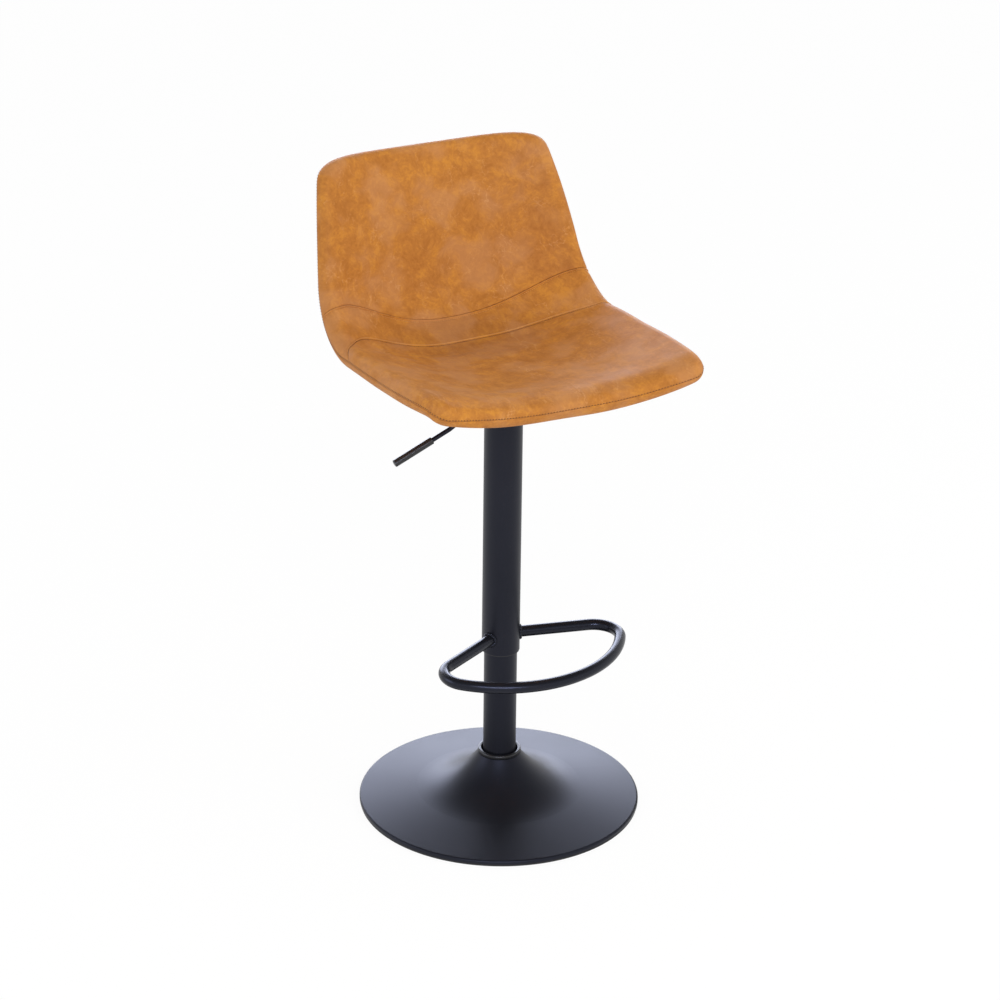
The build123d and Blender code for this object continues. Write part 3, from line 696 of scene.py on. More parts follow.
@dataclass(frozen=True)
class EdgeSpot:
    """Where points lie by the sewn outline, and how the edge is rolled over there."""

    across: Array
    gap: Array
    out: Array
    front_roll: Array
    rear_roll: Array
    seam: Array

    def rolled(self, rear: bool = False) -> Array:
        """How far the front or rear skin has rolled over, from 0 on its face to 1 at the sewn seam."""
        return np.clip(1 - self.gap / (self.rear_roll if rear else self.front_roll), 0, 1)


@dataclass(frozen=True)
class BucketForm:
    """The sitting surface in millimetres: winged cross sections carried along a bent centre line.

    A place on it is a distance along the centre line from the front edge, and a share of the way from the
    middle out to the sewn edge, which is -1 on the sitter's right and +1 on the left.
    """

    front_depth: float = 225.1
    front_height: float = 718.8
    lip_radius: float = 70.0
    lip_turn: float = 35.3
    seat_fall: float = 8.6
    seat_run: float = 253.8
    bend_radius: float = 128.0
    back_recline: float = 17.9
    back_run: float = 171.4
    back_curl: float = 10.4
    half_width: float = 202.4
    front_taper: float = 13.2
    back_taper: float = 45.4
    back_taper_power: float = 2.78
    widest_at: float = 132.3
    wing_front: float = 26.8
    wing_bend: float = 41.3
    wing_top: float = 36.2
    wing_peak_at: float = 431.0
    corner_droop: float = 2.0
    droop_run: float = 70.0
    flat_half_width: float = 33.4
    edge_bulge: float = 6.4
    front_bow: float = 5.5
    front_bow_power: float = 3.0
    front_corner: float = 19.0
    top_corner: float = 45.0
    top_squareness: float = 3.6
    pad_depth: float = 17.0
    full_depth: float = 30.6
    outline_pitch: float = 1.5
    on_line: float = 0.05
    end_points: int = 601
    side_points: int = 400
    roll_places: tuple[float, ...] = (0, 2, 5, 13, 27, 100, 200, 270, 335, 420, 580, 615, 650)
    front_roll: tuple[float, ...] = (13, 12, 11, 11, 12.4, 13.8, 13.6, 13.6, 14, 15.2, 15.2, 12.8, 10.4)
    rear_roll: tuple[float, ...] = (9.3, 8.8, 8.3, 8.3, 8.8, 9.3, 10.4, 13, 15.4, 16.3, 16.3, 17.1, 17.9)
    seam_turn: tuple[float, ...] = (68, 76, 95, 104, 108, 103, 108, 108, 118, 142, 142, 138, 128)
    groove: float = 1.0
    groove_share: float = 0.10
    ease_from: float = 0.75

    @property
    def stretches(self) -> tuple[tuple[float, float], ...]:
        """The centre line's stretches: lip, run, bend and back.

        Returns:
            Length and turn in degrees of each.
        """
        lip = self.lip_radius * math.radians(self.lip_turn)
        bend_turn = 90 - self.back_recline + self.seat_fall
        bend = self.bend_radius * math.radians(bend_turn)
        return ((lip, -self.lip_turn), (self.seat_run, 0.0), (bend, bend_turn), (self.back_run, -self.back_curl))

    @property
    def length(self) -> float:
        """Length of the centre line."""
        return sum(length for length, _ in self.stretches)

    def centre(self, distance: Array) -> tuple[Array, Array, Array]:
        """The centre line: arcs and lines joined end to end.

        Args:
            distance: distances from the front edge.

        Returns:
            How far back, how high, and the heading in radians.
        """
        back = np.full_like(distance, -self.front_depth)
        height = np.full_like(distance, self.front_height)
        heading = np.full_like(distance, math.radians(self.lip_turn - self.seat_fall))
        left = distance
        for length, turn in self.stretches:
            step = np.clip(left, 0.0, length)
            swing = math.radians(turn) * step / length
            chord = step * np.sinc(swing / (2 * np.pi))
            back = back + chord * np.cos(heading + swing / 2)
            height = height + chord * np.sin(heading + swing / 2)
            heading = heading + swing
            left = left - step
        return back, height, heading

    def reach(self, distance: Array) -> Array:
        """Half width: a parabola in front of the widest place and a power law behind it.

        Args:
            distance: distances along the centre line.

        Returns:
            Half widths.
        """
        ahead = self.half_width - self.front_taper * np.clip(1 - distance / self.widest_at, 0, None) ** 2
        past = np.clip((distance - self.widest_at) / (self.length - self.widest_at), 0, 1)
        return ahead - self.back_taper * past**self.back_taper_power

    def rise(self, distance: Array) -> Array:
        """Height of the wings over the middle: drooping in front, eased up to the bend and down again to the top.

        Args:
            distance: distances along the centre line.

        Returns:
            Heights.
        """
        up = smooth_step(distance / self.wing_peak_at)
        down = smooth_step((distance - self.wing_peak_at) / (self.length - self.wing_peak_at))
        droop = self.corner_droop * (1 - smooth_step(distance / self.droop_run))
        climb, fall = self.wing_bend - self.wing_front, self.wing_bend - self.wing_top
        return self.wing_front + climb * up - fall * down - droop

    def section(self, distance: Array) -> tuple[Array, Array, Array]:
        """The cross section: a flat middle, and a round wing on each side that meets it smoothly.

        Args:
            distance: distances along the centre line.

        Returns:
            Half width of the flat middle, radius of the wings and the angle that they turn through.
        """
        reach, rise = self.reach(distance), self.rise(distance)
        flat = self.flat_half_width * reach / self.half_width
        span = reach - flat
        radius = (span**2 + rise**2) / (2 * rise)
        return flat, radius, np.arcsin(span / radius)

    def edge(self, distance: Array) -> Array:
        """Length along the cross section from the middle to the sewn edge."""
        flat, radius, angle = self.section(distance)
        return flat + radius * angle + self.edge_bulge

    def place(self, distance: Array, across: Array, depth: Array) -> Array:
        """Points at a depth under the sitting surface.

        Args:
            distance: distances along the centre line.
            across: lengths along the cross section from the middle, negative on the sitter's right.
            depth: depths square to the cross section.

        Returns:
            The points.
        """
        flat, radius, angle = self.section(distance)
        beyond_flat = np.abs(across) - flat
        turn = np.clip(beyond_flat / radius, 0.0, angle)
        beyond = np.clip(beyond_flat - radius * angle, 0.0, None)
        inner = np.minimum(beyond_flat, 0.0)
        sideways = flat + inner + (radius + depth) * np.sin(turn) + beyond * np.cos(turn)
        up = radius - (radius + depth) * np.cos(turn) + beyond * np.sin(turn)
        back, height, heading = self.centre(distance)
        return np.stack([np.sign(across) * sideways, back - up * np.sin(heading), height + up * np.cos(heading)], -1)

    def front_line(self, share: Array) -> Array:
        """Distance of the sewn front edge: a slight bow between two round corners.

        Args:
            share: shares of the way out to the outline.

        Returns:
            Distances along the centre line.
        """
        reach = np.clip(self.front_corner - (1 - np.abs(share)) * self.half_width, 0.0, None)
        corner = self.front_corner - np.sqrt(self.front_corner**2 - reach**2)
        return self.front_bow * np.abs(share) ** self.front_bow_power + corner

    def top_line(self, share: Array) -> Array:
        """Distance of the sewn top edge: a superellipse's end, which draws back towards its rounded corners."""
        body = np.clip(1 - np.abs(share) ** self.top_squareness, 0.0, 1.0)
        return self.length - self.top_corner * (1 - body ** (1 / self.top_squareness))

    @cached_property
    def outline(self) -> Array:
        """The sewn outline: front edge, side, top edge and the other side, in even steps.

        Returns:
            Distance along and length across of each point of the closed line.
        """
        turn = np.sin(np.linspace(-np.pi / 2, np.pi / 2, self.end_points))
        front, top = self.front_line(turn), self.top_line(turn)
        side = np.linspace(front[-1], top[-1], self.side_points)[1:-1]
        right = np.ones(side.size)
        distance = np.concatenate([front, side, top, side[::-1]])
        across = np.concatenate([turn, right, -turn, -right]) * self.edge(distance)
        return resample(np.stack([distance, across], -1), self.outline_pitch, True)[1]

    def spot(self, distance: Array, share: Array) -> EdgeSpot:
        """The nearest place on the sewn outline: the nearest corner first, then the nearer of its two sides.

        Args:
            distance: distances along the centre line.
            share: shares of the way out to the outline.

        Returns:
            Lengths across, how far off the outline is, the direction out to it along and across, and the edge's
            two rolls and the seam's turn in radians there.
        """
        line, shape = self.outline, distance.shape
        across = share * self.edge(distance)
        spots = np.stack([distance.ravel(), across.ravel()], -1)
        corner = np.argmin((line**2).sum(-1) - 2 * spots @ line.T, axis=1)
        ends = np.stack([line[corner - 1], line[(corner + 1) % len(line)]])
        sides = ends - line[corner]
        part = ((spots - line[corner]) * sides).sum(-1) / np.maximum((sides**2).sum(-1), TINY)
        feet = line[corner] + np.clip(part, 0, 1)[..., None] * sides
        gaps = np.linalg.norm(spots - feet, axis=-1)
        nearer, pick = np.argmin(gaps, axis=0), np.arange(len(spots))
        foot, gap = feet[nearer, pick], gaps[nearer, pick]
        tangent = unit(ends[1] - ends[0])
        normal = np.stack([-tangent[:, 1], tangent[:, 0]], -1)
        inward = (normal * (foot - np.array([self.length / 2, 0.0]))).sum(-1) < 0
        normal *= np.where(inward, -1.0, 1.0)[:, None]
        out = np.where(gap[:, None] > self.on_line, (foot - spots) / np.maximum(gap, TINY)[:, None], normal)
        tables = (self.front_roll, self.rear_roll, np.radians(self.seam_turn))
        rolls = (np.interp(foot[:, 0], self.roll_places, table).reshape(shape) for table in tables)
        return EdgeSpot(across, gap.reshape(shape), out.reshape(*shape, 2), *rolls)

    def drawn_in(self, distance: Array, spot: EdgeSpot, draw: Array, depth: Array) -> Array:
        """Points drawn in from the outline, at a depth."""
        return self.place(distance - spot.out[..., 0] * draw, spot.across - spot.out[..., 1] * draw, depth)

    def edge_depth(self, turn: Array) -> Array:
        """Depth of the edge's two quarter ellipses after a turn round them."""
        ahead, behind = np.minimum(turn, np.pi / 2), np.maximum(turn - np.pi / 2, 0)
        return self.pad_depth * (1 - np.cos(ahead)) + (self.full_depth - self.pad_depth) * np.sin(behind)

    def skin(self, distance: Array, share: Array, sink: Array | float = 0.0, rear: bool = False) -> Array:
        """Points of the front or rear skin.

        Away from the outline a skin lies flat on its face. Near it, two quarter ellipses turn the edge over, one in
        front and one behind, and the skin follows them as far as the sewn seam, where it dips into a groove.

        Args:
            distance: distances along the centre line.
            share: shares of the way out to the outline.
            sink: how far points are sunk square to the skin.
            rear: whether it is the rear skin.

        Returns:
            The points.
        """
        spot = self.spot(distance, share)
        roll = spot.rolled(rear)
        turn = np.pi - roll * (np.pi - spot.seam) if rear else roll * spot.seam
        ahead, behind = np.minimum(turn, np.pi / 2), np.maximum(turn - np.pi / 2, 0)
        inset = spot.front_roll * (1 - np.sin(ahead)) + spot.rear_roll * (1 - np.cos(behind))
        dip = self.groove * np.clip((roll - 1) / self.groove_share + 1, 0, 1) ** 2
        draw = np.where(roll > 0, inset - spot.gap + dip + sink * np.sin(turn), 0.0)
        return self.drawn_in(distance, spot, draw, self.edge_depth(turn) + sink * np.cos(turn))

    def underside(self, distance: Array, share: Array) -> Array:
        """Points under a pad: flat at the pad's depth, and eased to the sewn seam along the outline.

        Args:
            distance: distances along the centre line.
            share: shares of the way out to the outline.

        Returns:
            The points.
        """
        spot = self.spot(distance, share)
        roll = spot.rolled()
        inset = spot.rear_roll * (1 - np.cos(np.maximum(spot.seam - np.pi / 2, 0))) + self.groove
        draw = np.where(roll > 0, np.maximum(inset - spot.gap, 0.0), 0.0)
        ease = smooth_step((roll - self.ease_from) / (1 - self.ease_from))
        depth = self.pad_depth + (self.edge_depth(spot.seam) - self.pad_depth) * ease
        return self.drawn_in(distance, spot, draw, depth)


class Panel(Enum):
    """Sewn panels of the seat's front, with the solid that each stands for."""

    SEAT = "seat_pad"
    LUMBAR = "lumbar_pad"
    BACK = "back_pad"


@dataclass(frozen=True)
class SeamLine:
    """A seam across the seat: its distance along the centre line is a polynomial of the share across."""

    terms: tuple[float, ...]

    def distance(self, share: Array, length: float) -> Array:
        """Distances of the seam along the centre line."""
        return length * np.polynomial.polynomial.polyval(share, self.terms)


@dataclass(frozen=True)
class Stitch:
    """One stitch: a blunt rounded bar whose ends dive into the leather."""

    length: float
    width: float
    height: float
    pitch: float
    rings: int = 6
    sides: int = 6
    bluntness: float = 3.0
    tip: float = 0.02
    lift: float = 0.30
    dive: float = 0.75
    slant: float = 0.10

    def bar(self) -> tuple[Array, Array]:
        """The bar: rings whose radius falls as a power of the way out and whose middle falls as its square.

        Returns:
            Its points as offsets ahead, aside and up, and its faces.
        """
        span = np.linspace(-1.0, 1.0, self.rings)
        angle = np.linspace(0.0, 2 * np.pi, self.sides, endpoint=False)
        swell = np.sqrt(np.clip(1 - np.abs(span) ** self.bluntness, self.tip, 1))
        ahead = np.repeat(span * self.length / 2, self.sides)
        aside = np.outer(swell, np.cos(angle)).ravel() * self.width / 2 + self.slant * ahead
        up = np.outer(swell, np.sin(angle)) / 2 + (self.lift - self.dive * span**2)[:, None]
        return np.stack([ahead, aside, up.ravel() * self.height], -1), grid_faces(self.rings, self.sides, False, True)


@dataclass(frozen=True)
class Creases:
    """Soft creases before the lower seam: ranges of their places and sizes in millimetres."""

    seed: int = 11
    count: int = 36
    middle: Band = (-150, 140)
    nearest: float = 8
    spread: float = 74
    crowding: float = 1.3
    lean: Band = (0.02, 0.09)
    length: Band = (20, 58)
    width: Band = (2.4, 5.0)
    height: Band = (0.40, 1.20)
    sunk_share: float = 0.55
    bow: float = 0.0012
    clear: float = 5
    fade: float = 9

    def raised(self, below: Array, across: Array) -> Array:
        """Sum of Gaussian ridges and hollows that lie roughly along the seam on its front side.

        Args:
            below: how far in front of the seam each point lies.
            across: lengths along the cross section.

        Returns:
            How far each point is raised.
        """
        draw = np.random.default_rng(self.seed)
        total = np.zeros_like(below)
        for _ in range(self.count):
            aside = across - draw.uniform(*self.middle)
            level = self.nearest + self.spread * draw.uniform(0, 1) ** self.crowding
            lean, length, width = draw.normal(*self.lean), draw.uniform(*self.length), draw.uniform(*self.width)
            height = draw.uniform(*self.height) * draw.choice((-1.0, 1.0), p=(self.sunk_share, 1 - self.sunk_share))
            offset = below - level - lean * aside - self.bow * aside**2
            total += height * bell(aside, length) * bell(offset, width)
        return total * smooth_step((below - self.clear) / self.fade)


@dataclass
class Upholstery:
    """The bucket seat's cover: three padded front panels, the rear cover, seams and stitching."""

    form: BucketForm
    leather: Material
    seam_thread: Material
    # Near-black thread of the edge and lower seam stitches: painted shade along the stitch rows.
    thread_with_shade: Material
    # Darker leather for the folds in the seams and the edge: painted shade.
    seam_shadow: Material
    edge_shadow: Material
    lower_seam: SeamLine = SeamLine((0.5223, 0.0147, 0.0088, -0.0514, 0.1333, -0.106, -0.2176, 0.1686))
    upper_seam: SeamLine = SeamLine((0.6035, 0.0162, 0.0921, -0.0709, 0.0362, 0.0602, -0.0952))
    creases: Creases = Creases()
    crease_clear: float = 1.5
    crease_fade: float = 8.0
    seam_gap: float = 0.3
    seam_wall: float = 3.0
    plain_depth: float = 1.6
    plain_width: float = 6.0
    welt_depth: float = 1.0
    welt_width: float = 1.5
    welt_rise: float = 1.3
    welt_spread: float = 1.1
    welt_offset: float = 2.1
    pull_depth: float = 0.7
    pull_width: float = 11.0
    stitch_offset: float = 4.6
    stitch_groove: float = 0.8
    groove_spread: float = 0.9
    lower_offset: float = 0.5
    lower_stitch: Stitch = Stitch(2.0, 0.9, 0.6, 3.2)
    upper_stitch: Stitch = Stitch(2.2, 0.7, 0.5, 3.2)
    edge_stitch: Stitch = Stitch(2.5, 1.1, 0.7, 4.4)
    edge_stitch_inset: float = 1.0
    stitched_share: float = 0.985
    folded_share: float = 0.996
    fold_sink: float = 0.3
    fold_radius: float = 0.6
    fold_sides: int = 8
    probe: float = 5.0
    edge_steps: tuple[float, ...] = (0, 0.05, 0.16, 0.45, 1.1, 1.9, 3, 4.4, 6, 8, 10.3, 13, 16, 19.5, 23.5)
    seam_steps: tuple[float, ...] = (0, 0, 0.5, 1.1, 1.8, 2.6, 3.4, 4, 4.6, 5.2, 6, 7.4, 9.6, 12.6, 16.5)
    cell: float = 4.6
    crown: float = 1.4
    # Painted shade in the hollow round the lower seam, and paler welts beside the lumbar band.
    shade_reach: float = 80.0
    shade_behind: float = 0.7
    shade_share: float = 0.62
    pale_spread: float = 1.0
    upper_pale: float = 0.5
    dish_depth: float = 8.0
    dish_start: float = 30.0
    dish_half_width: float = 172.0
    dish_fade: float = 95.0
    cloth_cell: float = 8.0
    cloth_rows: int = 8
    cloth_columns: int = 53
    swell_limit: float = 2.2
    swell_fade: float = 26.0
    pressure: float = 4.0
    last_frame: int = 20
    wave_count: int = 14
    wave_size: float = 34.0
    wave_phase: float = 6.0
    wave_height: float = 0.10
    cover_wall: float = 2.6
    cover_cell: float = 1.4
    cover_wave_height: float = 0.16
    cover_calm: float = 0.15

    def __post_init__(self) -> None:
        """Columns across the seat, close together where the sides roll over."""
        half = float(self.form.edge(np.array([self.form.widest_at]))[0])
        outer = 1 - np.array(self.edge_steps) / half
        count = int(outer[-1] * half / self.cell)
        inner = np.linspace(0.0, outer[-1], count, endpoint=False)
        side = np.concatenate([inner, outer[::-1]])
        self.shares = np.concatenate([-side[:0:-1], side])
        self.made: dict[Panel, Array] = {}

    def span(self, panel: Panel, share: Array) -> tuple[Array, Array]:
        """Where a panel starts and ends.

        Args:
            panel: the panel.
            share: shares of the way out to the outline.

        Returns:
            Distances along the centre line of its front and its rear end.
        """
        lower = self.lower_seam.distance(share, self.form.length)
        upper = self.upper_seam.distance(share, self.form.length)
        gap = self.seam_gap / 2
        spans = {
            Panel.SEAT: (self.form.front_line(share), lower - gap),
            Panel.LUMBAR: (lower + gap, upper - gap),
            Panel.BACK: (upper + gap, self.form.top_line(share)),
        }
        return spans[panel]

    def spread(self, ends: tuple[Array, Array], first: tuple[float, ...], last: tuple[float, ...],
               cell: float) -> tuple[Array, Array]:
        """A grid over the seat: fixed steps in from both ends and even steps between them.

        Args:
            ends: distances of the two ends at each column.
            first: steps in from the front end.
            last: steps in from the rear end.
            cell: about how far apart the even steps are.

        Returns:
            The points' distances along the centre line and their shares across.
        """
        head, tail = ends[0] + np.array(first)[:, None], ends[1] - np.array(last)[::-1, None]
        count = int(np.max(tail[0] - head[-1]) / cell)
        part = np.linspace(0.0, 1.0, count + 1, endpoint=False)[1:, None]
        distance = np.vstack([head, head[-1] + (tail[0] - head[-1]) * part, tail])
        return distance, np.broadcast_to(self.shares, distance.shape)

    def unevenness(self, distance: Array, across: Array, seed: int, height: float) -> Array:
        """Slow waves of the skin: a sum of seeded cosines, most of them 100 to 400 mm long.

        Args:
            distance: distances along the centre line.
            across: lengths along the cross section.
            seed: the seed of their draw.
            height: height of each wave.

        Returns:
            How far each point is moved.
        """
        draw = np.random.default_rng(seed)
        total = np.zeros_like(distance)
        for _ in range(self.wave_count):
            along, wide = draw.normal(0, 1 / self.wave_size, 2)
            total += height * np.cos(wide * across + along * distance + draw.uniform(0, self.wave_phase))
        return total

    def calm(self, distance: Array, share: Array) -> Array:
        """Share of a detail that is left as the edge rolls over: 1 less the roll's fourth power."""
        return 1 - self.form.spot(distance, share).rolled() ** 4

    def sink(self, panel: Panel, distance: Array, share: Array) -> Array:
        """How far a panel's face is sunk.

        The seat and the back fall to their seam in a quarter round. The lumbar band has a folded welt beside both
        seams, where the topstitching pulls a groove and the padding comes back behind it. Each face is crowned.

        Args:
            panel: the panel.
            distance: distances along the centre line.
            share: shares of the way out to the outline.

        Returns:
            Depths square to the skin, below 0 where it is raised.
        """
        start, end = self.span(panel, share)
        half = (distance - (start + end) / 2) / ((end - start) / 2)
        total = -self.crown * np.clip(1 - half**2, 0, None) * np.clip(1 - share**4, 0, None)
        near = np.minimum(distance - start, end - distance)
        across = share * self.form.edge(distance)
        below = self.lower_seam.distance(share, self.form.length) - distance
        waves = self.unevenness(distance, across, self.creases.seed + 2, self.wave_height)
        creased = self.creases.raised(below, across) + waves
        total -= creased * smooth_step((near - self.crease_clear) / self.crease_fade)
        if panel is Panel.SEAT:
            total += self.dish(distance, across, end)
            total += self.plain_depth * (1 - quarter_round((end - distance) / self.plain_width))
        elif panel is Panel.BACK:
            total += self.plain_depth * (1 - quarter_round((distance - start) / self.plain_width))
        else:
            total += self.welt_depth * (1 - quarter_round(near / self.welt_width))
            total -= self.welt_rise * bell(near - self.welt_offset, self.welt_spread)
            total += self.stitch_groove * bell(near - self.stitch_offset, self.groove_spread)
            total += self.pull_depth * (1 - smooth_step((near - self.stitch_offset) / self.pull_width))
        return total * self.calm(distance, share)

    def wear(self, panel: Panel, distance: Array, share: Array) -> Array:
        """Painted tone: paler above 0 along the lumbar welts, painted shade below 0 in the hollow round the lower
        seam.

        Args:
            panel: the panel.
            distance: distances along the centre line.
            share: shares of the way out to the outline.

        Returns:
            Tones from -1 to 1.
        """
        start, end = self.span(panel, share)
        seam = self.lower_seam.distance(share, self.form.length)
        reach = self.shade_reach * np.where(distance < seam, 1.0, self.shade_behind)
        tone = -bell(distance - seam, reach) * bell(share, self.shade_share)
        if panel is Panel.LUMBAR:
            lower = bell(distance - start - self.welt_offset, self.pale_spread)
            upper = bell(end - distance - self.welt_offset, self.pale_spread)
            tone = tone * (1 - lower) + lower + self.upper_pale * upper
        return tone

    def dish(self, distance: Array, across: Array, end: Array) -> Array:
        """Depth of the sitting hollow: eased down behind the front roll, inside the bolsters and before the seam.

        Args:
            distance: distances along the centre line.
            across: lengths along the cross section.
            end: distances of the seam.

        Returns:
            Depths.
        """
        behind = smooth_step((distance - self.dish_start) / self.dish_fade)
        inside = smooth_step((self.dish_half_width - np.abs(across)) / self.dish_fade)
        return self.dish_depth * behind * inside * smooth_step((end - distance) / self.dish_fade)

    def swell(self, panel: Panel, distance: Array, share: Array) -> Array:
        """Let pressure inside swell a panel's cover, as a coarse cloth that is held along its sewn edges.

        Args:
            panel: the panel.
            distance: distances of the panel's points along the centre line.
            share: their shares across.

        Returns:
            How far each point is moved: within the limit, and faded out towards the sewn edges.
        """
        across = np.linspace(-1.0, 1.0, self.cloth_columns)
        start, end = self.span(panel, across)
        rows = max(self.cloth_rows, int(np.max(end - start) / self.cloth_cell))
        level = start + (end - start) * np.linspace(0.0, 1.0, rows)[:, None]
        front = self.form.skin(level, np.broadcast_to(across, level.shape))
        shift = self.press(f"{panel.value}_cloth", front) - front
        size = np.linalg.norm(shift, axis=-1).max()
        LOG.info("%s swells by %.1f mm at most before the limit", panel.value, size)
        shift *= min(1.0, self.swell_limit / max(size, TINY))
        start, end = self.span(panel, share)
        down = np.clip((distance - start) / (end - start), 0, 1) * (rows - 1)
        side = (share + 1) / 2 * (self.cloth_columns - 1)
        row, column = np.minimum(down.astype(int), rows - 2), np.minimum(side.astype(int), self.cloth_columns - 2)
        down, side = (down - row)[..., None], (side - column)[..., None]
        near = (1 - side) * shift[row, column] + side * shift[row, column + 1]
        far = (1 - side) * shift[row + 1, column] + side * shift[row + 1, column + 1]
        margin = np.minimum(np.minimum(distance - start, end - distance), self.form.spot(distance, share).gap)
        return ((1 - down) * near + down * far) * smooth_step(margin / self.swell_fade)[..., None]

    def press(self, name: str, front: Array) -> Array:
        """Run a cloth under pressure and take it away again.

        Args:
            name: a name for the cloth.
            front: its grid of points, whose border is held.

        Returns:
            The grid after the last frame.
        """
        rows, columns = front.shape[:2]
        cloth = make_object(name, front, grid_faces(rows, columns), self.leather)
        held = np.ones((rows, columns))
        held[1:-1, 1:-1] = 0.0
        cloth.vertex_groups.new(name=CLOTH["vertex_group_mass"]).add(np.flatnonzero(held).tolist(), 1.0, "REPLACE")
        modifier = cloth.modifiers.new("swell", "CLOTH")
        for setting, value in CLOTH.items():
            setattr(modifier.settings, setting, value)
        modifier.settings.uniform_pressure_force = self.pressure
        modifier.settings.effector_weights.gravity = 0.0
        modifier.collision_settings.use_collision = False
        modifier.point_cache.frame_end = self.last_frame
        scene = bpy.context.scene
        for number in range(1, self.last_frame + 1):
            scene.frame_set(number)
        solved = cloth.evaluated_get(bpy.context.evaluated_depsgraph_get()).to_mesh()
        moved = np.empty(rows * columns * 3)
        solved.vertices.foreach_get("co", moved)
        scene.frame_set(1)
        bpy.data.objects.remove(cloth)
        return moved.reshape(rows, columns, 3) / MM

    def build_panel(self, panel: Panel) -> Thing:
        """One padded panel: a closed form whose border the face and the underside share.

        Args:
            panel: the panel.

        Returns:
            The piece.
        """
        first = self.edge_steps if panel is Panel.SEAT else self.seam_steps
        last = self.edge_steps if panel is Panel.BACK else self.seam_steps
        distance, share = self.spread(self.span(panel, self.shares), first, last, self.cell)
        sink = self.sink(panel, distance, share)
        front = self.form.skin(distance, share, sink)
        front = front + self.swell(panel, distance, share)
        sewn = self.form.skin(distance, share, sink + self.seam_wall * self.calm(distance, share))
        if panel is not Panel.SEAT:
            front[0] = sewn[0]
        if panel is not Panel.BACK:
            front[-1] = sewn[-1]
        points, faces, used = closed_pair(front, self.form.underside(distance, share))
        piece = make_object(panel.value.replace("_pad", "_panel"), points, faces, self.leather)
        # Painted tone at each point: paler welts, and painted shade in the hollow round the lower seam.
        tone = np.tile(self.wear(panel, distance, share).reshape(-1), 2)
        piece.data.attributes.new("wear", "FLOAT", "POINT").data.foreach_set("value", tone[used])
        self.made[panel] = front
        refine(piece)
        ride(piece, Body.LIFT, Slot.LEATHER, panel.value)
        return piece

    def build_rear_cover(self) -> Thing:
        """The rear cover: a closed form, whose wall thins like a quarter round to the border of the rear skin.

        Returns:
            The piece.
        """
        ends = self.form.front_line(self.shares), self.form.top_line(self.shares)
        distance, share = self.spread(ends, self.edge_steps, self.edge_steps, self.cover_cell * self.cell)
        spot = self.form.spot(distance, share)
        slack = self.unevenness(distance, spot.across, self.creases.seed + 1, self.cover_wave_height)
        slack = slack * smooth_step((1 - np.abs(share)) / self.cover_calm)
        wall = self.cover_wall * quarter_round(spot.gap / self.cover_wall)
        outer, inner = (self.form.skin(distance, share, sink, rear=True) for sink in (slack, wall))
        points, faces, _ = closed_pair(outer, inner)
        piece = make_object("rear_cover", points, faces[:, ::-1], self.leather)
        ride(piece, Body.LIFT, Slot.LEATHER, "back_cover")
        return piece

    def seam_row(self, panel: Panel, offset: float) -> tuple[Array, Array]:
        """The row of a made panel at an offset from its rear seam.

        Args:
            panel: the panel.
            offset: one of the seam steps.

        Returns:
            Its points and outward normals.
        """
        front = self.made[panel]
        row = -1 - self.seam_steps.index(offset)
        wide = np.gradient(front[row], axis=0)
        along = front[row + 1] - front[row - 1]
        return front[row], unit(np.cross(wide, along))

    def stitch_row(self, name: str, path: Array, normals: Array, closed: bool, thread: Material,
                   stitch: Stitch) -> Thing:
        """A row of stitches: one small bar repeated along a path.

        Args:
            name: the piece's name.
            path: the row's points.
            normals: outward normals at them.
            closed: whether the row closes on itself.
            thread: the thread's finish.
            stitch: the bar and its pitch.

        Returns:
            The piece.
        """
        numbers, points = resample(path, stitch.pitch, closed)
        up = unit(along_line(numbers, closed_up(normals, closed)))
        ahead = directions(points, closed)
        axes = np.stack([ahead, unit(np.cross(up, ahead)), up], 1)
        offsets, faces = stitch.bar()
        first = np.arange(len(points)) * len(offsets)
        bars = points[:, None] + offsets @ axes
        piece = make_object(name, bars, (faces + first[:, None, None]).reshape(-1, 4), thread)
        return ride(piece, Body.LIFT, Slot.LEATHER)

    def build_fold(self, name: str, distance: Array, share: Array, sink: Array | float, shadow: Material,
                   closed: bool) -> Thing:
        """The fold that shows in a seam: a thin round strip sunk along it, in darker leather as painted shade.

        Args:
            name: the piece's name.
            distance: the seam's distances along the centre line.
            share: its shares of the way out to the outline.
            sink: how far it is sunk.
            shadow: its finish, darker leather as painted shade.
            closed: whether the seam closes on itself.

        Returns:
            The piece.
        """
        path = self.form.skin(distance, share, sink)
        up = self.form.skin(distance, share, -self.probe) - path
        points, faces = tube(path, up, self.fold_radius, self.fold_sides, closed)
        return ride(make_object(name, points, faces, shadow), Body.LIFT, Slot.LEATHER)

    def build_seams(self) -> None:
        """Topstitching beside both seams, and the sunk fold that shows in each, in painted shade."""
        rows = (
            # The lower seam's stitches take the near-black thread, painted shade along the seam.
            ("lower_seam", Panel.SEAT, self.lower_seam, self.lower_offset, self.thread_with_shade, self.lower_stitch),
            ("upper_seam", Panel.LUMBAR, self.upper_seam, self.stitch_offset, self.seam_thread, self.upper_stitch),
        )
        inside = np.abs(self.shares) < self.stitched_share
        share = self.shares[np.abs(self.shares) < self.folded_share]
        for name, panel, line, offset, thread, stitch in rows:
            path, normals = self.seam_row(panel, offset)
            self.stitch_row(f"{name}_stitches", path[inside], normals[inside], False, thread, stitch)
            distance = line.distance(share, self.form.length)
            sink = self.plain_depth * self.calm(distance, share) + self.fold_sink
            self.build_fold(f"{name}_fold", distance, share, sink, self.seam_shadow, False)

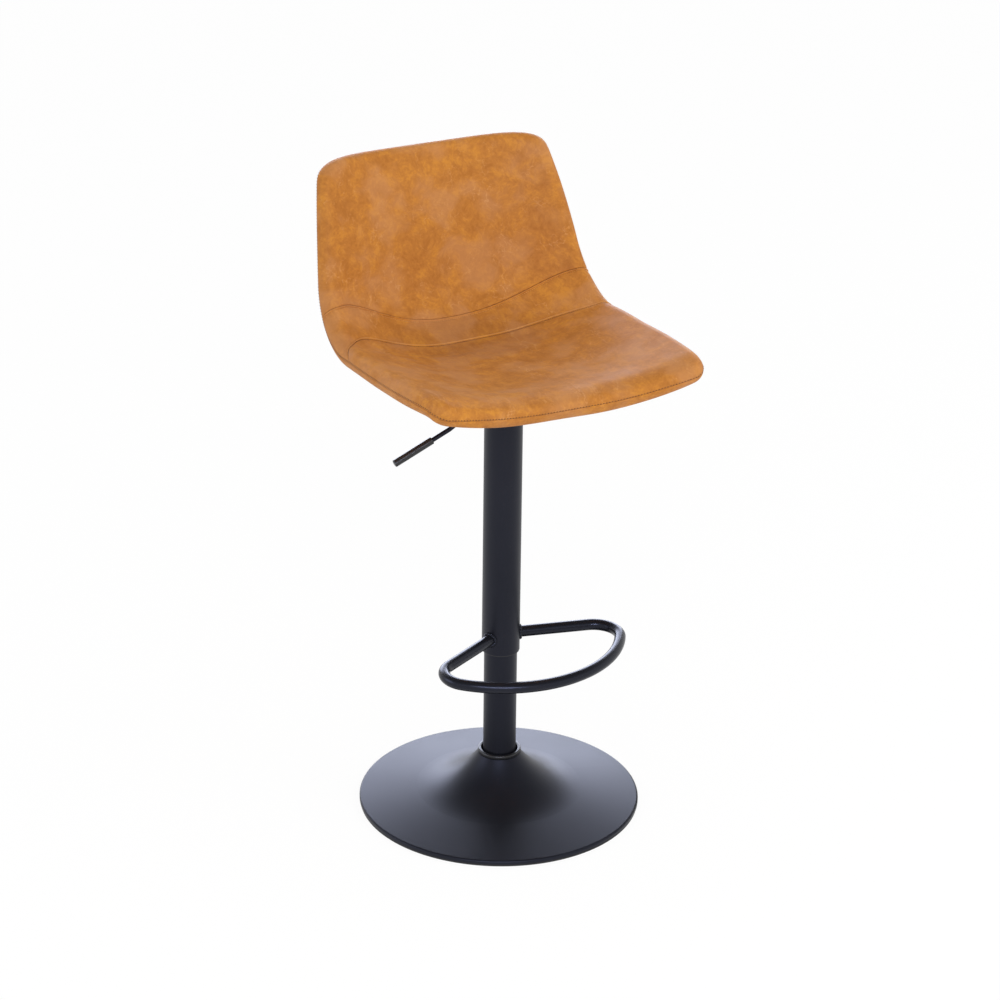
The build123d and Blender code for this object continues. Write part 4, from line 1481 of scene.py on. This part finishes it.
    def build_edge(self) -> None:
        """The sewn edge: a fold in painted shade in the groove between front and rear, and a row of stitches beside
        it.
        """
        distance, across = self.form.outline.T
        share = across / self.form.edge(distance)
        self.build_fold("edge_fold_shade", distance, share, 0.0, self.edge_shadow, True)
        out = self.form.spot(distance, share).out * self.edge_stitch_inset
        inner = distance - out[:, 0]
        share = (across - out[:, 1]) / self.form.edge(inner)
        path = self.form.skin(inner, share)
        up = self.form.skin(inner, share, -self.probe) - path
        # The near-black edge thread is painted shade along the stitch row.
        self.stitch_row("edge_stitches", path, up, True, self.thread_with_shade, self.edge_stitch)

    def build(self) -> None:
        """Make the panels, then the cover, seams and edge that lie on them."""
        for panel in Panel:
            self.build_panel(panel)
        self.build_rear_cover()
        self.build_seams()
        self.build_edge()


# Metalwork


@dataclass
class WeldBeads:
    """Rippled weld beads where the footrest's tube meets the column."""

    finish: Material
    column_radius: float = 27.5
    tube_radius: float = 8.3
    height: float = 270.5
    spread: float = 69.0
    turn: float = 9.2
    bead_radius: float = 2.5
    stand_off: float = 0.5
    ripples: int = 30
    ripple_share: float = 0.10
    ripple_lean: float = 1.4
    drift_waves: int = 3
    drift_share: float = 0.07
    ring_points: int = 240
    section_points: int = 16

    def bead(self, side: int) -> Array:
        """One bead: a rippled ring carried round the saddle where a tube meets the column.

        Args:
            side: -1 or +1.

        Returns:
            A grid of points that closes both ways.
        """
        spread = math.radians(self.spread) * side + math.radians(self.turn)
        spoke = np.array([math.sin(spread), -math.cos(spread), 0.0])
        wide = np.array([-spoke[1], spoke[0], 0.0])
        up = np.array([0.0, 0.0, 1.0])
        around = np.linspace(0, 2 * np.pi, self.ring_points, endpoint=False)[:, None]
        section = np.linspace(0, 2 * np.pi, self.section_points, endpoint=False)[None, :]
        ripple = self.ripple_share * np.sin(self.ripples * around + self.ripple_lean * np.cos(section))
        drift = self.drift_share * np.sin(self.drift_waves * around + side)
        size = self.bead_radius * (1 + ripple + drift)
        ring = self.tube_radius + self.stand_off
        saddle = np.sqrt(self.column_radius**2 - (ring * np.cos(around)) ** 2) + self.stand_off
        out = ring + size * np.cos(section)
        along = saddle + size * np.sin(section)
        radial = np.cos(around)[..., None] * wide + np.sin(around)[..., None] * up
        return self.height * up + along[..., None] * spoke + out[..., None] * radial

    def build(self) -> Thing:
        """Both beads as one piece.

        Returns:
            The piece.
        """
        points = np.concatenate([self.bead(side).reshape(-1, 3) for side in (-1, 1)])
        faces = grid_faces(self.ring_points, self.section_points, wrap_rows=True, wrap_columns=True)
        faces = np.vstack([faces, faces + self.ring_points * self.section_points])
        piece = make_object("footrest_weld_beads", points, faces, self.finish)
        return ride(piece, Body.LIFT, Slot.SATIN, "footrest_welds")


@dataclass
class Hardware:
    """Finishes of the solids that show as they are."""

    finishes: dict[str, Material]
    tube_finish: Material
    tubes: tuple[str, ...] = ("footrest", "footrest_welds", "lever_rod")

    def dress(self) -> None:
        """Give every solid the finish of its slot, and the bent tubes the glossier coat."""
        for subpart in frame["record"]["subparts"]:
            node = subpart["node"]
            finish = self.tube_finish if node in self.tubes else self.finishes[subpart["material_slot"]]
            solid = frame["nodes"][node]
            solid.data.materials.clear()
            solid.data.materials.append(finish)
            LOG.info("%s is dressed as %s", node, finish.name)


# Studio


@dataclass(frozen=True)
class SoftLamp:
    """An oblong lamp that faces the stool, and either lights it or only shows in its gloss."""

    name: str
    place: Triple
    width: float
    height: float
    watts: float
    colour: Colour = WHITE
    aim: Triple = (0.0, 0.0, 0.5)
    mirrored: bool = False

    def build(self) -> None:
        """Add the lamp, turned towards its aim and unseen by the camera."""
        light = bpy.data.lights.new(self.name, "AREA")
        light.shape = "RECTANGLE"
        light.size = self.width
        light.size_y = self.height
        light.energy = self.watts
        light.color = self.colour
        lamp = bpy.data.objects.new(self.name, light)
        lamp.location = self.place
        lamp.rotation_euler = (Vector(self.aim) - Vector(self.place)).to_track_quat("-Z", "Y").to_euler()
        lamp.visible_camera = False
        lamp.visible_glossy = self.mirrored
        lamp.visible_diffuse = not self.mirrored
        bpy.context.scene.collection.objects.link(lamp)


@dataclass
class Studio:
    """Pale floor, soft light and the camera."""

    lens: float = 144.0
    sensor: float = 36.0
    clip: float = 200.0
    distance: float = 5.697
    azimuth: float = 25.57
    pitch: float = 24.77
    roll: float = 0.753
    target: Triple = (0.0, 0.0, 0.4823)
    shift: float = -0.00258
    sky: float = 0.85
    ceiling: float = 0.19
    ceiling_band: Band = (0.25, 0.85)
    cool: Colour = (0.74, 0.80, 1.0)
    floor_white: float = 0.91
    floor_half: float = 40.0
    floor_tones: tuple[Colour, Colour] = ((0.96, 0.96, 0.96), (0.98, 0.98, 0.98))
    floor_clouds: Grain = Grain(3.0)

    def build_camera(self) -> None:
        """Look down at the stool from its right front."""
        data = bpy.data.cameras.new("camera")
        data.lens = self.lens
        data.sensor_width = self.sensor
        data.shift_x = self.shift
        data.clip_end = self.clip
        camera = bpy.data.objects.new("camera", data)
        turn, dip = math.radians(self.azimuth), math.radians(self.pitch)
        back = Vector((-math.sin(turn) * math.cos(dip), -math.cos(turn) * math.cos(dip), math.sin(dip)))
        camera.location = Vector(self.target) + back * self.distance
        facing = (-back).to_track_quat("-Z", "Y")
        camera.rotation_euler = (facing @ Quaternion((0.0, 0.0, 1.0), math.radians(self.roll))).to_euler()
        bpy.context.scene.collection.objects.link(camera)
        bpy.context.scene.camera = camera

    def build_floor(self) -> None:
        """A pale floor that is white to the camera and in reflections, and keeps the shadow."""
        half = self.floor_half / MM
        corners = np.array([[-half, -half, 0.0], [half, -half, 0.0], [half, half, 0.0], [-half, half, 0.0]])
        shader = Shader("pale_floor")
        pale = shader.blend(shader.noise(shader.place(), self.floor_clouds), *self.floor_tones)
        shader.finish(Base_Color=pale, Roughness=0.9, Specular_IOR_Level=0.0)
        seen = shader.light("Is Camera Ray") + shader.light("Is Glossy Ray") + shader.light("Is Transmission Ray")
        glow = shader.node("ShaderNodeEmission", None, {"Color": WHITE, "Strength": 1.0})
        shader.show(shader.node("ShaderNodeMixShader", None, {0: seen * self.floor_white, 1: shader.lit, 2: glow}))
        floor = make_object("floor", corners, np.array([[0, 1, 2, 3]]), shader.material)

    def build_world(self) -> None:
        """An even surround as light, white to the camera; in reflections, white walls under a dimmer ceiling."""
        world = bpy.data.worlds.new("surround")
        nodes = Nodes(world)
        heading = nodes.node("ShaderNodeTexCoord", output="Generated")
        height = nodes.node("ShaderNodeSeparateXYZ", None, {0: heading}, "Z")
        walls = 1 - height.ease(*self.ceiling_band) * (1 - self.ceiling)
        shown = nodes.light("Is Glossy Ray") + nodes.light("Is Transmission Ray")
        seen = nodes.light("Is Camera Ray")
        strength = seen + shown * walls + (1 - seen - shown) * self.sky
        glow = nodes.node("ShaderNodeBackground", None, {"Color": WHITE, "Strength": strength})
        nodes.node("ShaderNodeOutputWorld", None, {"Surface": glow}, None)
        bpy.context.scene.world = world

    def build(self) -> None:
        """Set up the whole studio."""
        bpy.context.scene.view_settings.view_transform = "Standard"
        self.build_camera()
        self.build_floor()
        self.build_world()
        lamps = (
            SoftLamp("key", (-1.6, -3.0, 3.0), 2.0, 2.0, 40.0),
            SoftLamp("fill", (2.9, -2.4, 2.0), 2.0, 2.0, 36.0),
            SoftLamp("rear", (1.05, 3.2, 1.1), 3.4, 1.9, 120.0, self.cool, mirrored=True),
            SoftLamp("flank", (-3.0, 0.9, 1.3), 1.8, 1.5, 25.0, self.cool, mirrored=True),
            SoftLamp("front", (-1.9, -3.9, 2.5), 2.8, 0.4, 130.0, self.cool, mirrored=True),
        )
        for lamp in lamps:
            lamp.build()


def main() -> None:
    """Dress the solids, build the upholstery and welds, and set up the studio."""
    logging.basicConfig(level=logging.INFO, format="%(message)s")
    finishes = {
        finish.name: finish.make()
        for finish in (
            PowderCoat("black_satin"),
            Moulded("black_plastic", (0.008, 0.008, 0.010), (0.013, 0.013, 0.016), 0.26),
            Moulded("black_rubber", (0.010, 0.010, 0.010), (0.018, 0.018, 0.018), 0.68),
            BareMetal("zinc_steel", (0.42, 0.42, 0.41), (0.62, 0.62, 0.60), 0.30),
            BareMetal("aluminium", (0.56, 0.56, 0.58), (0.74, 0.74, 0.76), 0.28),
            BareMetal("brass", (0.58, 0.42, 0.18), (0.78, 0.60, 0.30), 0.30),
            MottledLeather("tan_leather"),
            Plywood("plywood"),
        )
    }
    # Darker leather tones of the seam and edge folds: painted shade along the seams.
    seam_shade_tones = (
        (0.19, 0.068, 0.014), (0.23, 0.084, 0.017), (0.27, 0.104, 0.020), (0.25, 0.104, 0.030), (0.30, 0.14, 0.05),
    )
    edge_shade_tones = (
        (0.28, 0.100, 0.018), (0.33, 0.122, 0.023), (0.38, 0.150, 0.026), (0.36, 0.155, 0.050), (0.42, 0.20, 0.07),
    )
    tube_satin = PowderCoat("tube_satin", rough=0.20).make()
    Hardware(finishes, tube_satin).dress()
    upholstery = Upholstery(
        form=BucketForm(),
        leather=finishes["tan_leather"],
        seam_thread=Thread("seam_thread", (0.46, 0.20, 0.05), (0.66, 0.34, 0.10)).make(),
        # Near-black thread: painted shade along the edge and lower seam stitches.
        thread_with_shade=Thread("thread_with_shade", (0.06, 0.022, 0.007), (0.11, 0.038, 0.010)).make(),
        seam_shadow=MottledLeather("seam_fold_shade", *seam_shade_tones).make(),
        edge_shadow=MottledLeather("edge_fold_shade", *edge_shade_tones).make(),
    )
    upholstery.build()
    WeldBeads(tube_satin).build()
    Studio().build()


if __name__ == "__main__":
    main()
